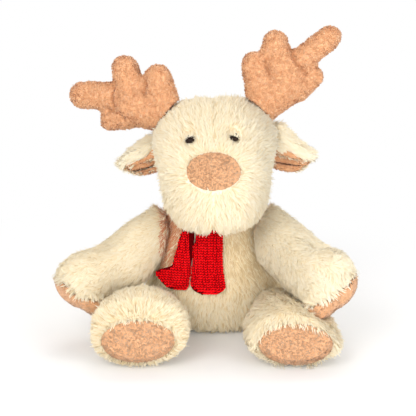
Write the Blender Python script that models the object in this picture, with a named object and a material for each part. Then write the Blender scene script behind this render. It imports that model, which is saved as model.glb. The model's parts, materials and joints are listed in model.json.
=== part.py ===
"""A plush deer that sits on the floor with its legs forward.

The torso, head, arms and legs are stuffed forms of long pile, the antlers stuffed forms of
short pile. Patches of short velvet make the nose, the pads of the hands and feet and the
linings of the folded ears. A knitted scarf goes round the neck, and its two tails hang on
the chest. Metres, +Z up. The deer faces -Y, and its own right side is at -X. The origin is
the middle of the seat, on the floor.
"""

import math

import bmesh
import bpy
from mathutils import Euler, Matrix, Vector
from mathutils.bvhtree import BVHTree

# Clearances
SEAM_GAP = 0.0005  # between two pieces that are sewn together
REST_GAP = 0.0016  # between a hand and the leg that it rests on
PATCH_GAP = 0.0004  # between a velvet patch and the form under it
FLAT_DEPTH = 0.0005  # how deep a form is cut flat where it stands
OVERRUN = 0.020  # how far a cutter runs past what it cuts

# Torso
TORSO_HEIGHT = 0.1185
TORSO_HALF_WIDTH = 0.0625
BELLY_REACH = 0.0585
TORSO_BACK = 0.0550
# Height, half width, reach to the front and reach to the back, as shares of the four sizes
TORSO_SHARES = (
    (0.000, 0.76, 0.76, 0.72),
    (0.035, 0.88, 0.88, 0.85),
    (0.100, 0.96, 0.96, 0.94),
    (0.200, 1.00, 1.00, 0.99),
    (0.320, 1.00, 1.00, 1.00),
    (0.440, 0.97, 0.97, 0.97),
    (0.560, 0.92, 0.91, 0.91),
    (0.680, 0.85, 0.84, 0.85),
    (0.790, 0.77, 0.75, 0.77),
    (0.880, 0.69, 0.69, 0.70),
    (0.950, 0.62, 0.635, 0.665),
    (0.985, 0.52, 0.53, 0.57),
    (1.000, 0.36, 0.37, 0.39),
)

# Tail
TAIL_LENGTH = 0.030
TAIL_HALF_WIDTH = 0.0115
TAIL_HEIGHT = 0.036  # of its root above the floor
TAIL_RISE_DEGREES = 38
TAIL_END_POWER = 3.0

# Head, in its own upright frame
HEAD_HEIGHT = 0.1015
HEAD_HALF_WIDTH = 0.0538
MUZZLE_REACH = 0.0955
HEAD_BACK = 0.0430
CHIN_DROP = 0.0195  # of the muzzle's lowest point below the torso's top
HEAD_SHARES = (
    (0.000, 0.16, 0.74, -1.44),
    (0.020, 0.38, 0.86, -1.16),
    (0.065, 0.58, 0.93, -1.00),
    (0.125, 0.70, 0.965, -0.72),
    (0.185, 0.80, 0.99, -0.10),
    (0.255, 0.86, 1.00, 0.36),
    (0.345, 0.90, 1.00, 0.68),
    (0.445, 0.93, 0.985, 0.86),
    (0.545, 0.955, 0.95, 0.95),
    (0.640, 0.99, 0.875, 1.00),
    (0.730, 1.00, 0.775, 1.00),
    (0.810, 0.935, 0.655, 0.97),
    (0.880, 0.850, 0.525, 0.89),
    (0.940, 0.735, 0.380, 0.75),
    (0.980, 0.590, 0.240, 0.54),
    (1.000, 0.400, 0.110, 0.30),
)
HEAD_TILT_DEGREES = 3.0  # its left side is held higher
HEAD_TURN_DEGREES = 1.1  # and its nose a little to its right
HEAD_SHIFT = 0.0010  # of its middle, to its left
NECK_GAP = 0.0010  # from the scarf to the round hollow under the head
NECK_ROUNDING = 0.006

# Nose patch, on the muzzle
NOSE_HALF_WIDTH = 0.0235
NOSE_HALF_HEIGHT = 0.0175
NOSE_HEIGHT_SHARE = 0.5665  # of the head's height
NOSE_SLOPE_DEGREES = 24  # how far it faces upwards
PATCH_THICKNESS = 0.0014

# Eyes, each a dome on a stem, locked by a washer in a pocket of the head
EYE_SPACING = 0.0372
EYE_HEIGHT_SHARE = 0.7852  # of the head's height
EYE_RADIUS = 0.0046
EYE_DOME = 0.0030
EYE_SEAT_GAP = 0.0003
STEM_RADIUS = 0.0017
STEM_LENGTH = 0.0135
BORE_RADIUS = 0.0021
WASHER_RADIUS = 0.0070
WASHER_THICKNESS = 0.0015
WASHER_DEPTH = 0.0085  # of the washer's front below the dome's seat
WASHER_GAP = 0.0004
EYE_SIDES = 16
EYE_RINGS = 6

# Antlers: the shape is flat in X and Z from its root, X outwards
ANTLER_ROOT_OUT = 0.0415
ANTLER_ROOT_HEIGHT_SHARE = 0.8818  # of the head's height
ANTLER_ROOT_BACK = 0.0020
ANTLER_SIZE = {"left": 0.0886, "right": 0.0850}  # of its cover, as it is stuffed
ANTLER_DEPTH_SHARE = 0.90
ANTLER_VOXEL = 0.0036
ANTLER_FACES_SHARE = 0.26  # of the faces that its skin keeps
ANTLER_LEAN_DEGREES = {"left": -27.8, "right": 0.0}
ANTLER_SWEEP_DEGREES = {"left": 6.0, "right": 18.0}
ANTLER_RISE_DEGREES = 14.0  # how far it bends up
# Each tine: places and radii of its root and tip, as shares of the antler's size
ANTLER_TINE_SHARES = {
    "left": {
        "palm": ((-0.030, 0.035, 0.184), (0.370, 0.088, 0.188)),
        "inner_tine": ((0.107, 0.195, 0.146), (0.176, 0.452, 0.119)),
        "upper_tine": ((0.342, 0.180, 0.144), (0.467, 0.506, 0.132)),
        "long_tine": ((0.450, 0.216, 0.127), (0.957, 0.277, 0.121)),
        "low_tine": ((0.423, 0.001, 0.134), (0.640, 0.015, 0.092)),
    },
    "right": {
        "palm": ((-0.030, 0.010, 0.196), (0.364, 0.098, 0.214)),
        "inner_tine": ((0.054, 0.196, 0.178), (0.072, 0.411, 0.136)),
        "upper_tine": ((0.379, 0.204, 0.157), (0.436, 0.490, 0.146)),
        "long_tine": ((0.450, 0.201, 0.143), (0.936, 0.210, 0.148)),
        "low_tine": ((0.462, 0.001, 0.152), (0.647, -0.058, 0.112)),
    },
}

# Ears: each a folded leaf that opens forwards and a little down
EAR_LENGTH = 0.0400
EAR_HALF_HEIGHT = {"left": 0.0200, "right": 0.0178}
EAR_HALF_DEPTH = 0.0125
EAR_THICKNESS = 0.0056
LINING_THICKNESS = 0.0014
EAR_ROOT_OUT = 0.0500
EAR_ROOT_BACK = 0.0040
EAR_ROOT_HEIGHT_SHARE = 0.5714  # of the head's height
EAR_ROOT_DROP = {"left": 0.0015, "right": 0.0}  # below that height
EAR_DROOP_DEGREES = 13.0
EAR_FALL_DEGREES = 20.0  # how far it bends down
EAR_OPENING_DEGREES = (-58.0, -12.0)  # round the section, from straight ahead
EAR_STEPS = 6  # faces round the outside of a section
# Distance along the ear, height and depth of the section, and drop of its middle
EAR_SHARES = (
    (-0.15, 0.93, 0.98, -0.02),
    (0.10, 1.00, 1.00, 0.00),
    (0.35, 0.93, 0.97, 0.05),
    (0.60, 0.76, 0.85, 0.13),
    (0.82, 0.53, 0.64, 0.22),
    (1.00, 0.24, 0.34, 0.30),
)

# Arms, from the shoulder to the hand's end
SHOULDER_OUT = 0.0380
SHOULDER_FRONT = 0.0060
SHOULDER_HEIGHT_SHARE = 0.7426  # of the torso's height
UPPER_ARM = 0.0720
FOREARM = {"left": 0.0580, "right": 0.0480}
ARM_RADIUS = {"left": 0.0250, "right": 0.0225}
HAND_RADIUS = {"left": 0.0295, "right": 0.0280}
HAND_BULGE = 0.0080  # of the hand's end past the forearm
# Forwards from straight out and down from level, of the upper arm and the forearm
ARM_DEGREES = {
    "left": ((57.5, 14.0), (62.5, 10.5)),
    "right": ((37.0, 22.5), (43.0, 12.5)),
}
ARM_LIFT_DEGREES = 15.0
# The hand on this side lies on the leg and dents it. The other arm lies against its leg.
LYING_HAND = "left"
# Distance along the arm and radius, as shares of its length and of the two radii
ARM_SHARES = (
    (0.00, 1.00, 0.00),
    (0.35, 0.98, 0.00),
    (0.60, 0.85, 0.15),
    (0.80, 0.40, 0.60),
    (1.00, 0.00, 1.00),
)
ARM_END_POWER = 4.0
HAND_PAD_HALF_LENGTH = 0.0260
HAND_PAD_HALF_WIDTH = 0.0180
# Which way the pad faces: forwards from straight out, and down from level
HAND_PAD_DEGREES = {"left": (58.0, 40.0), "right": (42.0, 46.0)}
HAND_PAD_ROLL_DEGREES = {"left": 38.0, "right": 25.0}  # how far its outer end is turned up

# Legs, from the hip to the sole
HIP_OUT = 0.0330
HIP_FRONT = 0.0150
HIP_HEIGHT = 0.0200
HIP_RADIUS = 0.0205
FOOT_OUT = {"left": 0.0670, "right": 0.0645}
SOLE_FRONT = 0.1460
FOOT_HALF_WIDTH = 0.0420
FOOT_HALF_HEIGHT = {"left": 0.0270, "right": 0.0300}
LEG_SPREAD_DEGREES = (-12.0, 0.0)  # inwards and outwards
LEG_END_POWER = 12.0
# Distance along the leg, and the shares of the hip's and of the foot's size there
LEG_SHARES = (
    (0.00, 1.00, 0.00),
    (0.25, 0.98, 0.02),
    (0.48, 0.66, 0.34),
    (0.70, 0.12, 0.88),
    (0.80, 0.00, 1.00),
    (1.00, 0.00, 1.00),
)
FOOT_PAD_HALF_WIDTH = 0.0305
FOOT_PAD_HALF_HEIGHT = 0.0195
FOOT_PAD_HEIGHT = {"left": 0.0220, "right": 0.0250}
FOOT_PAD_DOWN_DEGREES = 8.0

# Scarf
SCARF_THICKNESS = 0.0036
SCARF_GAP = 0.0006  # to the chest
CLING_SHARE = 1.132  # how far out it follows the chest, in tail widths
CLING_SLOPE_DEGREES = 14.04  # how far it turns backwards past there
WRAP_HEIGHT = 0.0135
WRAP_DROP = 0.0155  # of its lower edge below the torso's top
WRAP_RADIUS = 0.0445
WRAP_DEPTH = 0.0145  # from its outside to inside the neck
WRAP_SECTION = 8
WRAP_STEPS = 24
CROSSING_HALF_WIDTH = 0.0150
CROSSING_OUT = -0.0080
SCARF_TAIL_DROP = 0.0060  # of a tail's top below the turn round the neck
SCARF_TAIL_WIDTH = 0.0265
SCARF_TAIL_LENGTH_SHARE = 0.4641  # of the torso's height
SCARF_TAIL_LIFT_DEGREES = 40.0
# Share of the length down the tail, then its two edges across the chest, in tail widths
SCARF_TAIL_SHARES = {
    "right": (
        (0.00, -1.12, -0.71),
        (0.15, -1.20, -0.72),
        (0.35, -1.32, -0.75),
        (0.52, -1.50, -0.79),
        (0.66, -1.80, -0.82),
        (0.77, -1.88, -0.84),
        (0.86, -1.70, -0.86),
        (0.93, -1.44, -0.88),
        (0.98, -1.22, -0.95),
    ),
    "left": (
        (0.00, -0.62, 0.24),
        (0.25, -0.68, 0.25),
        (0.50, -0.71, 0.26),
        (0.75, -0.76, 0.29),
        (0.92, -0.73, 0.27),
        (1.00, -0.58, 0.16),
    ),
}
SCARF_ACROSS = 6  # faces across a tail

# How round and how fine the forms are
SECTION_POWER = 2.2  # 2 gives ellipses, more gives fuller corners
AROUND = 24
LIMB_AROUND = 16
LIMB_STATIONS = 12
PATCH_SIDES = 22

SIDES = {"left": 1, "right": -1}

COLOURS = {
    "cream_pile": ((0.90, 0.80, 0.60), 0.95),
    "tan_velvet": ((0.78, 0.46, 0.27), 0.90),
    "red_knit": ((0.62, 0.006, 0.012), 0.85),
    "eye_plastic": ((0.022, 0.010, 0.006), 0.18),
    "washer_plastic": ((0.75, 0.75, 0.72), 0.40),
}


def clear_scene():
    for leftover in list(bpy.data.objects):
        bpy.data.objects.remove(leftover, do_unlink=True)


def material(name):
    found = bpy.data.materials.get(name)
    if found:
        return found
    colour, roughness = COLOURS[name]
    made = bpy.data.materials.new(name)
    made.use_nodes = True
    shader = made.node_tree.nodes["Principled BSDF"]
    shader.inputs["Base Color"].default_value = (*colour, 1.0)
    shader.inputs["Roughness"].default_value = roughness
    shader.inputs["Metallic"].default_value = 0.0
    return made


def add_object(name, mesh, finish=None):
    """A visible piece with its finish, or a hidden cutter without one."""
    made = bpy.data.objects.new(name, mesh)
    bpy.context.scene.collection.objects.link(made)
    if finish:
        mesh.materials.append(material(finish))
        mesh.shade_smooth()
    else:
        made.hide_render = True
        made.display_type = "WIRE"
    return made


def rings_mesh(name, rings):
    """A closed form through rings of points, each end capped with one face."""
    form = bmesh.new()
    loops = [[form.verts.new(point) for point in ring] for ring in rings]
    for lower, upper in zip(loops, loops[1:]):
        for i in range(len(lower)):
            j = (i + 1) % len(lower)
            form.faces.new((lower[i], lower[j], upper[j], upper[i]))
    form.faces.new(list(reversed(loops[0])))
    form.faces.new(loops[-1])
    bmesh.ops.recalc_face_normals(form, faces=form.faces)
    mesh = bpy.data.meshes.new(name)
    form.to_mesh(mesh)
    form.free()
    return mesh


def table_at(table, share):
    """A table's row at a share of its first column, read from a smooth curve through its rows."""
    rows = [Vector(row) for row in table]
    step = 0
    while step < len(rows) - 2 and rows[step + 1][0] < share:
        step += 1
    a, b = rows[step], rows[step + 1]
    before = rows[step - 1] if step else a
    after = rows[step + 2] if step + 2 < len(rows) else b
    t = (share - a[0]) / (b[0] - a[0])
    slope_a = (b - before) * ((b[0] - a[0]) / (b[0] - before[0]))
    slope_b = (after - a) * ((b[0] - a[0]) / (after[0] - a[0]))
    return (
        a * (2 * t**3 - 3 * t**2 + 1)
        + slope_a * (t**3 - 2 * t**2 + t)
        + b * (3 * t**2 - 2 * t**3)
        + slope_b * (t**3 - t**2)
    )


def rounded(angle):
    """Across and along, for a point of a section that is a little fuller than a circle."""
    across, along = math.cos(angle), math.sin(angle)
    size = (abs(across) ** SECTION_POWER + abs(along) ** SECTION_POWER) ** (-1 / SECTION_POWER)
    return across * size, along * size


def stacked_form(name, base, height, half_width, front, back, table):
    """Level sections on top of each other, each as wide and as deep as its row says."""
    rings = []
    for share, wide, forward, backward in table:
        y_front, y_back = -forward * front, backward * back
        ring = []
        for i in range(AROUND):
            across, along = rounded(2 * math.pi * i / AROUND)
            y = (y_front + y_back) / 2 + along * (y_back - y_front) / 2
            ring.append(Vector((across * wide * half_width, y, base + share * height)))
        rings.append(ring)
    return rings_mesh(name, rings)


def limb_form(name, spine, size_at, end_power, on_floor=False):
    """Sections along a curve. An end power of 2 rounds the ends like an egg, more makes them blunter."""
    rings = []
    for i in range(1, LIMB_STATIONS):
        angle = math.pi * i / LIMB_STATIONS
        share = (1 - math.cos(angle)) / 2
        middle, along = curve_at(spine, share)
        across = along.cross(Vector((0, 0, 1))).normalized()
        upwards = across.cross(along).normalized()
        wide, high = size_at(share)
        if on_floor:
            middle.z = high - FLAT_DEPTH
            upwards = Vector((0, 0, 1))
        swell = math.sqrt(1 - abs(2 * share - 1) ** end_power)
        ring = []
        for j in range(LIMB_AROUND):
            x, z = rounded(2 * math.pi * j / LIMB_AROUND)
            ring.append(middle + across * (x * wide * swell) + upwards * (z * high * swell))
        rings.append(ring)
    return rings_mesh(name, rings)


def curve_at(points, share):
    """A place on the Bezier curve through a spine's control points, and its direction."""
    line, last = list(points), list(points)
    while len(line) > 1:
        last = line
        line = [a.lerp(b, share) for a, b in zip(line, line[1:])]
    return line[0], (last[1] - last[0]).normalized()


def direction(side, forward_degrees, down_degrees):
    """Outwards to one side, turned forwards and then down."""
    forward, down = math.radians(forward_degrees), math.radians(down_degrees)
    level = math.cos(down)
    return Vector((SIDES[side] * math.cos(forward) * level, -math.sin(forward) * level, -math.sin(down)))


def moved(mesh, matrix):
    """A mesh moved in place. One that a mirroring matrix turned inside out is turned back."""
    mesh.transform(matrix)
    if matrix.determinant() < 0:
        mesh.flip_normals()
    return mesh


def about(point, matrix):
    return Matrix.Translation(point) @ matrix @ Matrix.Translation(-point)


def boolean(piece, cutter, operation="DIFFERENCE", solver="EXACT"):
    step = piece.modifiers.new(cutter.name, "BOOLEAN")
    step.operation = operation
    step.object = cutter
    step.solver = solver


def grown_copy(form, name, growth):
    """A hidden copy of a form whose surface stands proud by a growth."""
    made = add_object(name, form.data.copy())
    proud = made.modifiers.new("growth", "DISPLACE")
    proud.strength = growth
    proud.mid_level = 0.0
    return made


def cut_clear(piece, larger, gap, pivot=None, turns=(Matrix(),), solver="EXACT"):
    """Cuts a piece back from a larger one, at rest and at each turn about its pivot."""
    for i, turn in enumerate(turns):
        cutter = grown_copy(larger, f"{piece.name}_clear_of_{larger.name}_{i}", gap)
        if pivot:
            cutter.matrix_world = about(pivot, turn.inverted())
        boolean(piece, cutter, solver=solver)


def turns(axis, *degrees):
    return [Matrix.Rotation(math.radians(d), 4, axis) for d in degrees]


def slab(name, low, high):
    form = bmesh.new()
    bmesh.ops.create_cube(form, size=1)
    size = Vector(high) - Vector(low)
    bmesh.ops.scale(form, vec=size, verts=form.verts)
    bmesh.ops.translate(form, vec=Vector(low) + size / 2, verts=form.verts)
    mesh = bpy.data.meshes.new(name)
    form.to_mesh(mesh)
    form.free()
    return add_object(name, mesh)


def disc(name, radius, start, end, sides, top_radius=None, matrix=Matrix()):
    """A closed turned piece along its own Z, between two distances."""
    form = bmesh.new()
    bmesh.ops.create_cone(
        form,
        cap_ends=True,
        segments=sides,
        radius1=radius,
        radius2=radius if top_radius is None else top_radius,
        depth=end - start,
        matrix=matrix @ Matrix.Translation((0, 0, (start + end) / 2)),
    )
    mesh = bpy.data.meshes.new(name)
    form.to_mesh(mesh)
    form.free()
    return mesh


def surface_of(mesh):
    form = bmesh.new()
    form.from_mesh(mesh)
    tree = BVHTree.FromBMesh(form)
    form.free()
    return tree


def facing(normal):
    """A turn whose Z looks along a direction and whose Y stays as near to upright as it can."""
    z = normal.normalized()
    x = Vector((0, 0, 1)).cross(z).normalized()
    return Matrix((x, z.cross(x), z)).transposed().to_4x4()


def velvet_patch(name, form, centre, normal, half_width, half_height, roll=Matrix()):
    """A piece of cloth laid on a form: the skin over it, inside an oval seen along a direction."""
    skin = form.data.copy()
    skin.materials.clear()
    patch = add_object(name, skin, "tan_velvet")
    proud = patch.modifiers.new("growth", "DISPLACE")
    proud.strength = PATCH_GAP + PATCH_THICKNESS
    proud.mid_level = 0.0
    oval = disc(f"{name}_oval", 1, -OVERRUN, OVERRUN, PATCH_SIDES)
    shape = Matrix.Diagonal((half_width, half_height, 1, 1))
    moved(oval, Matrix.Translation(centre) @ facing(normal) @ roll @ shape)
    boolean(patch, add_object(oval.name, oval), "INTERSECT")
    boolean(patch, grown_copy(form, f"{name}_under", PATCH_GAP))
    return patch


def pivot_empty(name, place, nodes):
    """The nodes of a moving body hang on an empty at their joint."""
    pivot = bpy.data.objects.new(name, None)
    pivot.location = place
    bpy.context.scene.collection.objects.link(pivot)
    for node in nodes:
        node.data.transform(Matrix.Translation(-place))
        node.parent = pivot


def make_torso():
    mesh = stacked_form(
        "torso", -FLAT_DEPTH, TORSO_HEIGHT, TORSO_HALF_WIDTH, BELLY_REACH, TORSO_BACK, TORSO_SHARES
    )
    torso = add_object("torso", mesh, "cream_pile")
    boolean(torso, floor_cutter())
    return torso


def floor_cutter():
    """What lies below the floor."""
    found = bpy.data.objects.get("below_floor")
    reach = SOLE_FRONT + OVERRUN
    return found or slab("below_floor", (-reach, -reach, -OVERRUN), (reach, reach, 0))


def make_tail(torso):
    rise = math.radians(TAIL_RISE_DEGREES)
    root = Vector((0, TORSO_BACK - TAIL_HALF_WIDTH, TAIL_HEIGHT))
    tip = root + Vector((0, math.cos(rise), math.sin(rise))) * TAIL_LENGTH
    spine = (root, root.lerp(tip, 0.5), tip)
    size = (TAIL_HALF_WIDTH, TAIL_HALF_WIDTH)
    mesh = limb_form("tail", spine, lambda share: size, TAIL_END_POWER)
    tail = add_object("tail", mesh, "cream_pile")
    cut_clear(tail, torso, SEAM_GAP)
    return tail


def head_height(share):
    """A height above the floor, as a share of the way up the head."""
    return TORSO_HEIGHT - CHIN_DROP + share * HEAD_HEIGHT


def head_pose():
    middle = Vector((0, 0, head_height(0.5)))
    tilt = Matrix.Rotation(-math.radians(HEAD_TILT_DEGREES), 4, "Y")
    turn = Matrix.Rotation(-math.radians(HEAD_TURN_DEGREES), 4, "Z")
    return Matrix.Translation((HEAD_SHIFT, 0, 0)) @ about(middle, turn @ tilt)


def make_head():
    base = head_height(0)
    mesh = stacked_form(
        "head", base, HEAD_HEIGHT, HEAD_HALF_WIDTH, MUZZLE_REACH, HEAD_BACK, HEAD_SHARES
    )
    return add_object("head", moved(mesh, head_pose()), "cream_pile")


def hollow_head(head):
    """A round hollow under the head takes the neck and the scarf, whichever way the head turns."""
    top = TORSO_HEIGHT - FLAT_DEPTH + SEAM_GAP
    wide = WRAP_RADIUS + NECK_GAP
    outline = ((top - HEAD_HEIGHT, wide), (top - NECK_ROUNDING, wide), (top, wide - NECK_ROUNDING))
    rings = []
    for height, radius in outline:
        ring = []
        for i in range(AROUND):
            angle = 2 * math.pi * i / AROUND
            ring.append(Vector((radius * math.cos(angle), radius * math.sin(angle), height)))
        rings.append(ring)
    boolean(head, add_object("neck_hollow", rings_mesh("neck_hollow", rings)))


def eye_dome(name):
    rings = []
    for i in range(EYE_RINGS):
        rise = math.pi / 2 * i / EYE_RINGS
        height = EYE_SEAT_GAP + EYE_DOME * math.sin(rise)
        ring = []
        for j in range(EYE_SIDES):
            turn = 2 * math.pi * j / EYE_SIDES
            radius = EYE_RADIUS * math.cos(rise)
            ring.append(Vector((radius * math.cos(turn), radius * math.sin(turn), height)))
        rings.append(ring)
    return rings_mesh(name, rings)


def make_eyes(head, surface):
    pieces = []
    for side, sign in SIDES.items():
        front = Vector((sign * EYE_SPACING / 2, -MUZZLE_REACH - OVERRUN, head_height(EYE_HEIGHT_SHARE)))
        aim = head_pose() @ front
        place, normal, _, _ = surface.ray_cast(aim, Vector((0, 1, 0)))
        seat = Matrix.Translation(place) @ facing(normal)
        mesh = eye_dome(f"eye_{side}")
        eye = add_object(f"eye_{side}", moved(mesh, seat), "eye_plastic")
        stem = disc(
            f"eye_stem_{side}", STEM_RADIUS, -STEM_LENGTH, EYE_DOME / 2, EYE_SIDES, matrix=seat
        )
        boolean(eye, add_object(stem.name, stem), "UNION")

        front, behind = -WASHER_DEPTH, -WASHER_DEPTH - WASHER_THICKNESS
        ring = disc(f"eye_washer_{side}", WASHER_RADIUS, behind, front, EYE_SIDES, matrix=seat)
        washer = add_object(ring.name, ring, "washer_plastic")
        hole = disc(
            f"washer_hole_{side}",
            BORE_RADIUS,
            behind - OVERRUN,
            front + OVERRUN,
            EYE_SIDES,
            matrix=seat,
        )
        boolean(washer, add_object(hole.name, hole))

        pocket = disc(
            f"washer_pocket_{side}",
            WASHER_RADIUS + WASHER_GAP,
            behind - WASHER_GAP,
            front + WASHER_GAP,
            EYE_SIDES,
            matrix=seat,
        )
        bore = disc(
            f"eye_bore_{side}", BORE_RADIUS, -STEM_LENGTH - WASHER_GAP, EYE_RADIUS, EYE_SIDES, matrix=seat
        )
        boolean(head, add_object(pocket.name, pocket))
        boolean(head, add_object(bore.name, bore))
        pieces += [eye, washer]
    return pieces


def make_nose(head, surface):
    aim = head_pose() @ Vector((0, -MUZZLE_REACH - OVERRUN, head_height(NOSE_HEIGHT_SHARE)))
    place, _, _, _ = surface.ray_cast(aim, Vector((0, 1, 0)))
    slope = math.radians(NOSE_SLOPE_DEGREES)
    normal = head_pose().to_3x3() @ Vector((0, -math.cos(slope), math.sin(slope)))
    return velvet_patch("nose_patch", head, place, normal, NOSE_HALF_WIDTH, NOSE_HALF_HEIGHT)


def antler_root(side):
    height = head_height(ANTLER_ROOT_HEIGHT_SHARE)
    return head_pose() @ Vector((SIDES[side] * ANTLER_ROOT_OUT, ANTLER_ROOT_BACK, height))


def make_antler(side, head):
    """Tapered tubes grown into one skin, as the cover pulls smooth over the filling."""
    form = bmesh.new()
    for ends in ANTLER_TINE_SHARES[side].values():
        (x0, z0, r0), (x1, z1, r1) = ends
        root, tip = Vector((x0, 0, z0)), Vector((x1, 0, z1))
        steps = 5
        for i in range(steps + 1):
            share = i / steps
            radius = (r0 + (r1 - r0) * share) * ANTLER_SIZE[side]
            place = Matrix.Translation(root.lerp(tip, share) * ANTLER_SIZE[side])
            flat = Matrix.Diagonal((1, ANTLER_DEPTH_SHARE, 1, 1))
            bmesh.ops.create_icosphere(form, subdivisions=2, radius=radius, matrix=place @ flat)
    mesh = bpy.data.meshes.new(f"antler_{side}")
    form.to_mesh(mesh)
    form.free()
    antler = add_object(mesh.name, mesh, "tan_velvet")
    skin = antler.modifiers.new("one skin", "REMESH")
    skin.mode = "VOXEL"
    skin.voxel_size = ANTLER_VOXEL
    relax = antler.modifiers.new("relax", "SMOOTH")
    relax.factor = 0.5
    relax.iterations = 2
    fewer = antler.modifiers.new("fewer faces", "DECIMATE")
    fewer.ratio = ANTLER_FACES_SHARE
    lean = Matrix.Rotation(math.radians(ANTLER_LEAN_DEGREES[side]), 4, "Y")
    sweep = Matrix.Rotation(math.radians(ANTLER_SWEEP_DEGREES[side]), 4, "Z")
    mirror = Matrix.Diagonal((SIDES[side], 1, 1, 1))
    turn = head_pose().to_3x3().to_4x4()
    settle(antler, Matrix.Translation(antler_root(side)) @ turn @ mirror @ sweep @ lean)
    rise = -SIDES[side] * ANTLER_RISE_DEGREES
    play = turns("Y", 0, rise / 2, rise)
    # The fine skin crosses the turned heads at very small angles, where the exact solver fails.
    cut_clear(antler, head, SEAM_GAP, antler_root(side), play, solver="MANIFOLD")
    return antler


def settle(piece, matrix):
    """Turns a piece's modifiers into its mesh, and moves the mesh to its place."""
    bpy.context.view_layer.update()
    evaluated = piece.evaluated_get(bpy.context.evaluated_depsgraph_get())
    mesh = bpy.data.meshes.new_from_object(evaluated)
    piece.modifiers.clear()
    piece.data = moved(mesh, matrix)
    mesh.shade_smooth()


def ear_root(side):
    height = head_height(EAR_ROOT_HEIGHT_SHARE) - EAR_ROOT_DROP[side]
    return head_pose() @ Vector((SIDES[side] * EAR_ROOT_OUT, EAR_ROOT_BACK, height))


def ear_form(name, side, inset, thickness):
    """A leaf folded round an opening: each section is an arc with an outer and an inner line."""
    low, high = (math.radians(d) for d in EAR_OPENING_DEGREES)
    outer_half_depth = EAR_HALF_DEPTH - inset
    outer_half_height = EAR_HALF_HEIGHT[side] - inset
    rings = []
    for share, tall, deep, drop in EAR_SHARES:
        middle = Vector((share * EAR_LENGTH, 0, -drop * EAR_HALF_HEIGHT[side]))
        taper = inset * (1 - tall)
        ring = []
        for line, shrink in ((range(EAR_STEPS + 1), 0), (range(EAR_STEPS, -1, -1), thickness)):
            depth = deep * outer_half_depth - shrink * deep
            height = tall * outer_half_height - shrink * tall
            for i in line:
                angle = high + (2 * math.pi + low - high) * i / EAR_STEPS
                ring.append(middle + Vector((-taper, -depth * math.cos(angle), height * math.sin(angle))))
        rings.append(ring)
    mesh = rings_mesh(name, rings)
    droop = Matrix.Rotation(math.radians(EAR_DROOP_DEGREES), 4, "Y")
    mirror = Matrix.Diagonal((SIDES[side], 1, 1, 1))
    turn = head_pose().to_3x3().to_4x4()
    return moved(mesh, Matrix.Translation(ear_root(side)) @ turn @ mirror @ droop)


def make_ear(side, head, antler):
    ear = add_object(f"ear_{side}", ear_form(f"ear_{side}", side, 0, EAR_THICKNESS), "cream_pile")
    inset = EAR_THICKNESS + PATCH_GAP
    cloth = ear_form(f"ear_lining_{side}", side, inset, LINING_THICKNESS)
    lining = add_object(f"ear_lining_{side}", cloth, "tan_velvet")
    fall = SIDES[side] * EAR_FALL_DEGREES
    play = turns("Y", 0, fall / 2, fall)
    for piece in (ear, lining):
        for larger in (head, antler):
            cut_clear(piece, larger, SEAM_GAP, ear_root(side), play, solver="MANIFOLD")
    return [ear, lining]


def shoulder(side):
    height = SHOULDER_HEIGHT_SHARE * TORSO_HEIGHT
    return Vector((SIDES[side] * SHOULDER_OUT, -SHOULDER_FRONT, height))


def arm_spine(side):
    upper, lower = (direction(side, *degrees) for degrees in ARM_DEGREES[side])
    start = shoulder(side) - upper * ARM_RADIUS[side]
    elbow = shoulder(side) + upper * UPPER_ARM
    return start, elbow, elbow + lower * (FOREARM[side] + HAND_BULGE)


def arm_form(name, side):
    def size(share):
        _, arm_share, hand_share = table_at(ARM_SHARES, share)
        radius = arm_share * ARM_RADIUS[side] + hand_share * HAND_RADIUS[side]
        return radius, radius

    return limb_form(name, arm_spine(side), size, ARM_END_POWER)


def make_arm(side, torso, wrap, leg):
    arm = add_object(f"arm_{side}", arm_form(f"arm_{side}", side), "cream_pile")
    sign = -SIDES[side]
    lift = turns("Y", 0, sign * ARM_LIFT_DEGREES / 2, sign * ARM_LIFT_DEGREES)
    cut_clear(arm, torso, SEAM_GAP, shoulder(side), lift)
    cut_clear(arm, wrap, SEAM_GAP, shoulder(side), lift)
    plain = add_object(f"arm_{side}_plain", arm_form(f"arm_{side}_plain", side))
    normal = direction(side, *HAND_PAD_DEGREES[side])
    end, along = curve_at(arm_spine(side), 1)
    place = end + (normal - along) * HAND_RADIUS[side]
    roll = Matrix.Rotation(math.radians(SIDES[side] * HAND_PAD_ROLL_DEGREES[side]), 4, "Z")
    pad = velvet_patch(
        f"hand_pad_{side}", plain, place, normal, HAND_PAD_HALF_LENGTH, HAND_PAD_HALF_WIDTH, roll
    )
    if side != LYING_HAND:
        cut_clear(arm, leg, REST_GAP)
        cut_clear(pad, leg, REST_GAP)
    return [arm, pad]


def hip(side):
    return Vector((SIDES[side] * HIP_OUT, -HIP_FRONT, HIP_HEIGHT))


def leg_spine(side):
    """Seen from above. The leg lies on the floor, so its middle is as high as it is thick."""
    sign = SIDES[side]
    sole = Vector((sign * FOOT_OUT[side], -SOLE_FRONT, 0))
    start = Vector((sign * HIP_OUT, HIP_RADIUS - HIP_FRONT, 0))
    return start, Vector((sole.x, (start.y + sole.y) / 2, 0)), sole


def leg_form(name, side):
    def size(share):
        _, hip_share, foot_share = table_at(LEG_SHARES, share)
        wide = hip_share * HIP_RADIUS + foot_share * FOOT_HALF_WIDTH
        high = hip_share * HIP_RADIUS + foot_share * FOOT_HALF_HEIGHT[side]
        return wide, high

    return limb_form(name, leg_spine(side), size, LEG_END_POWER, on_floor=True)


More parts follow.
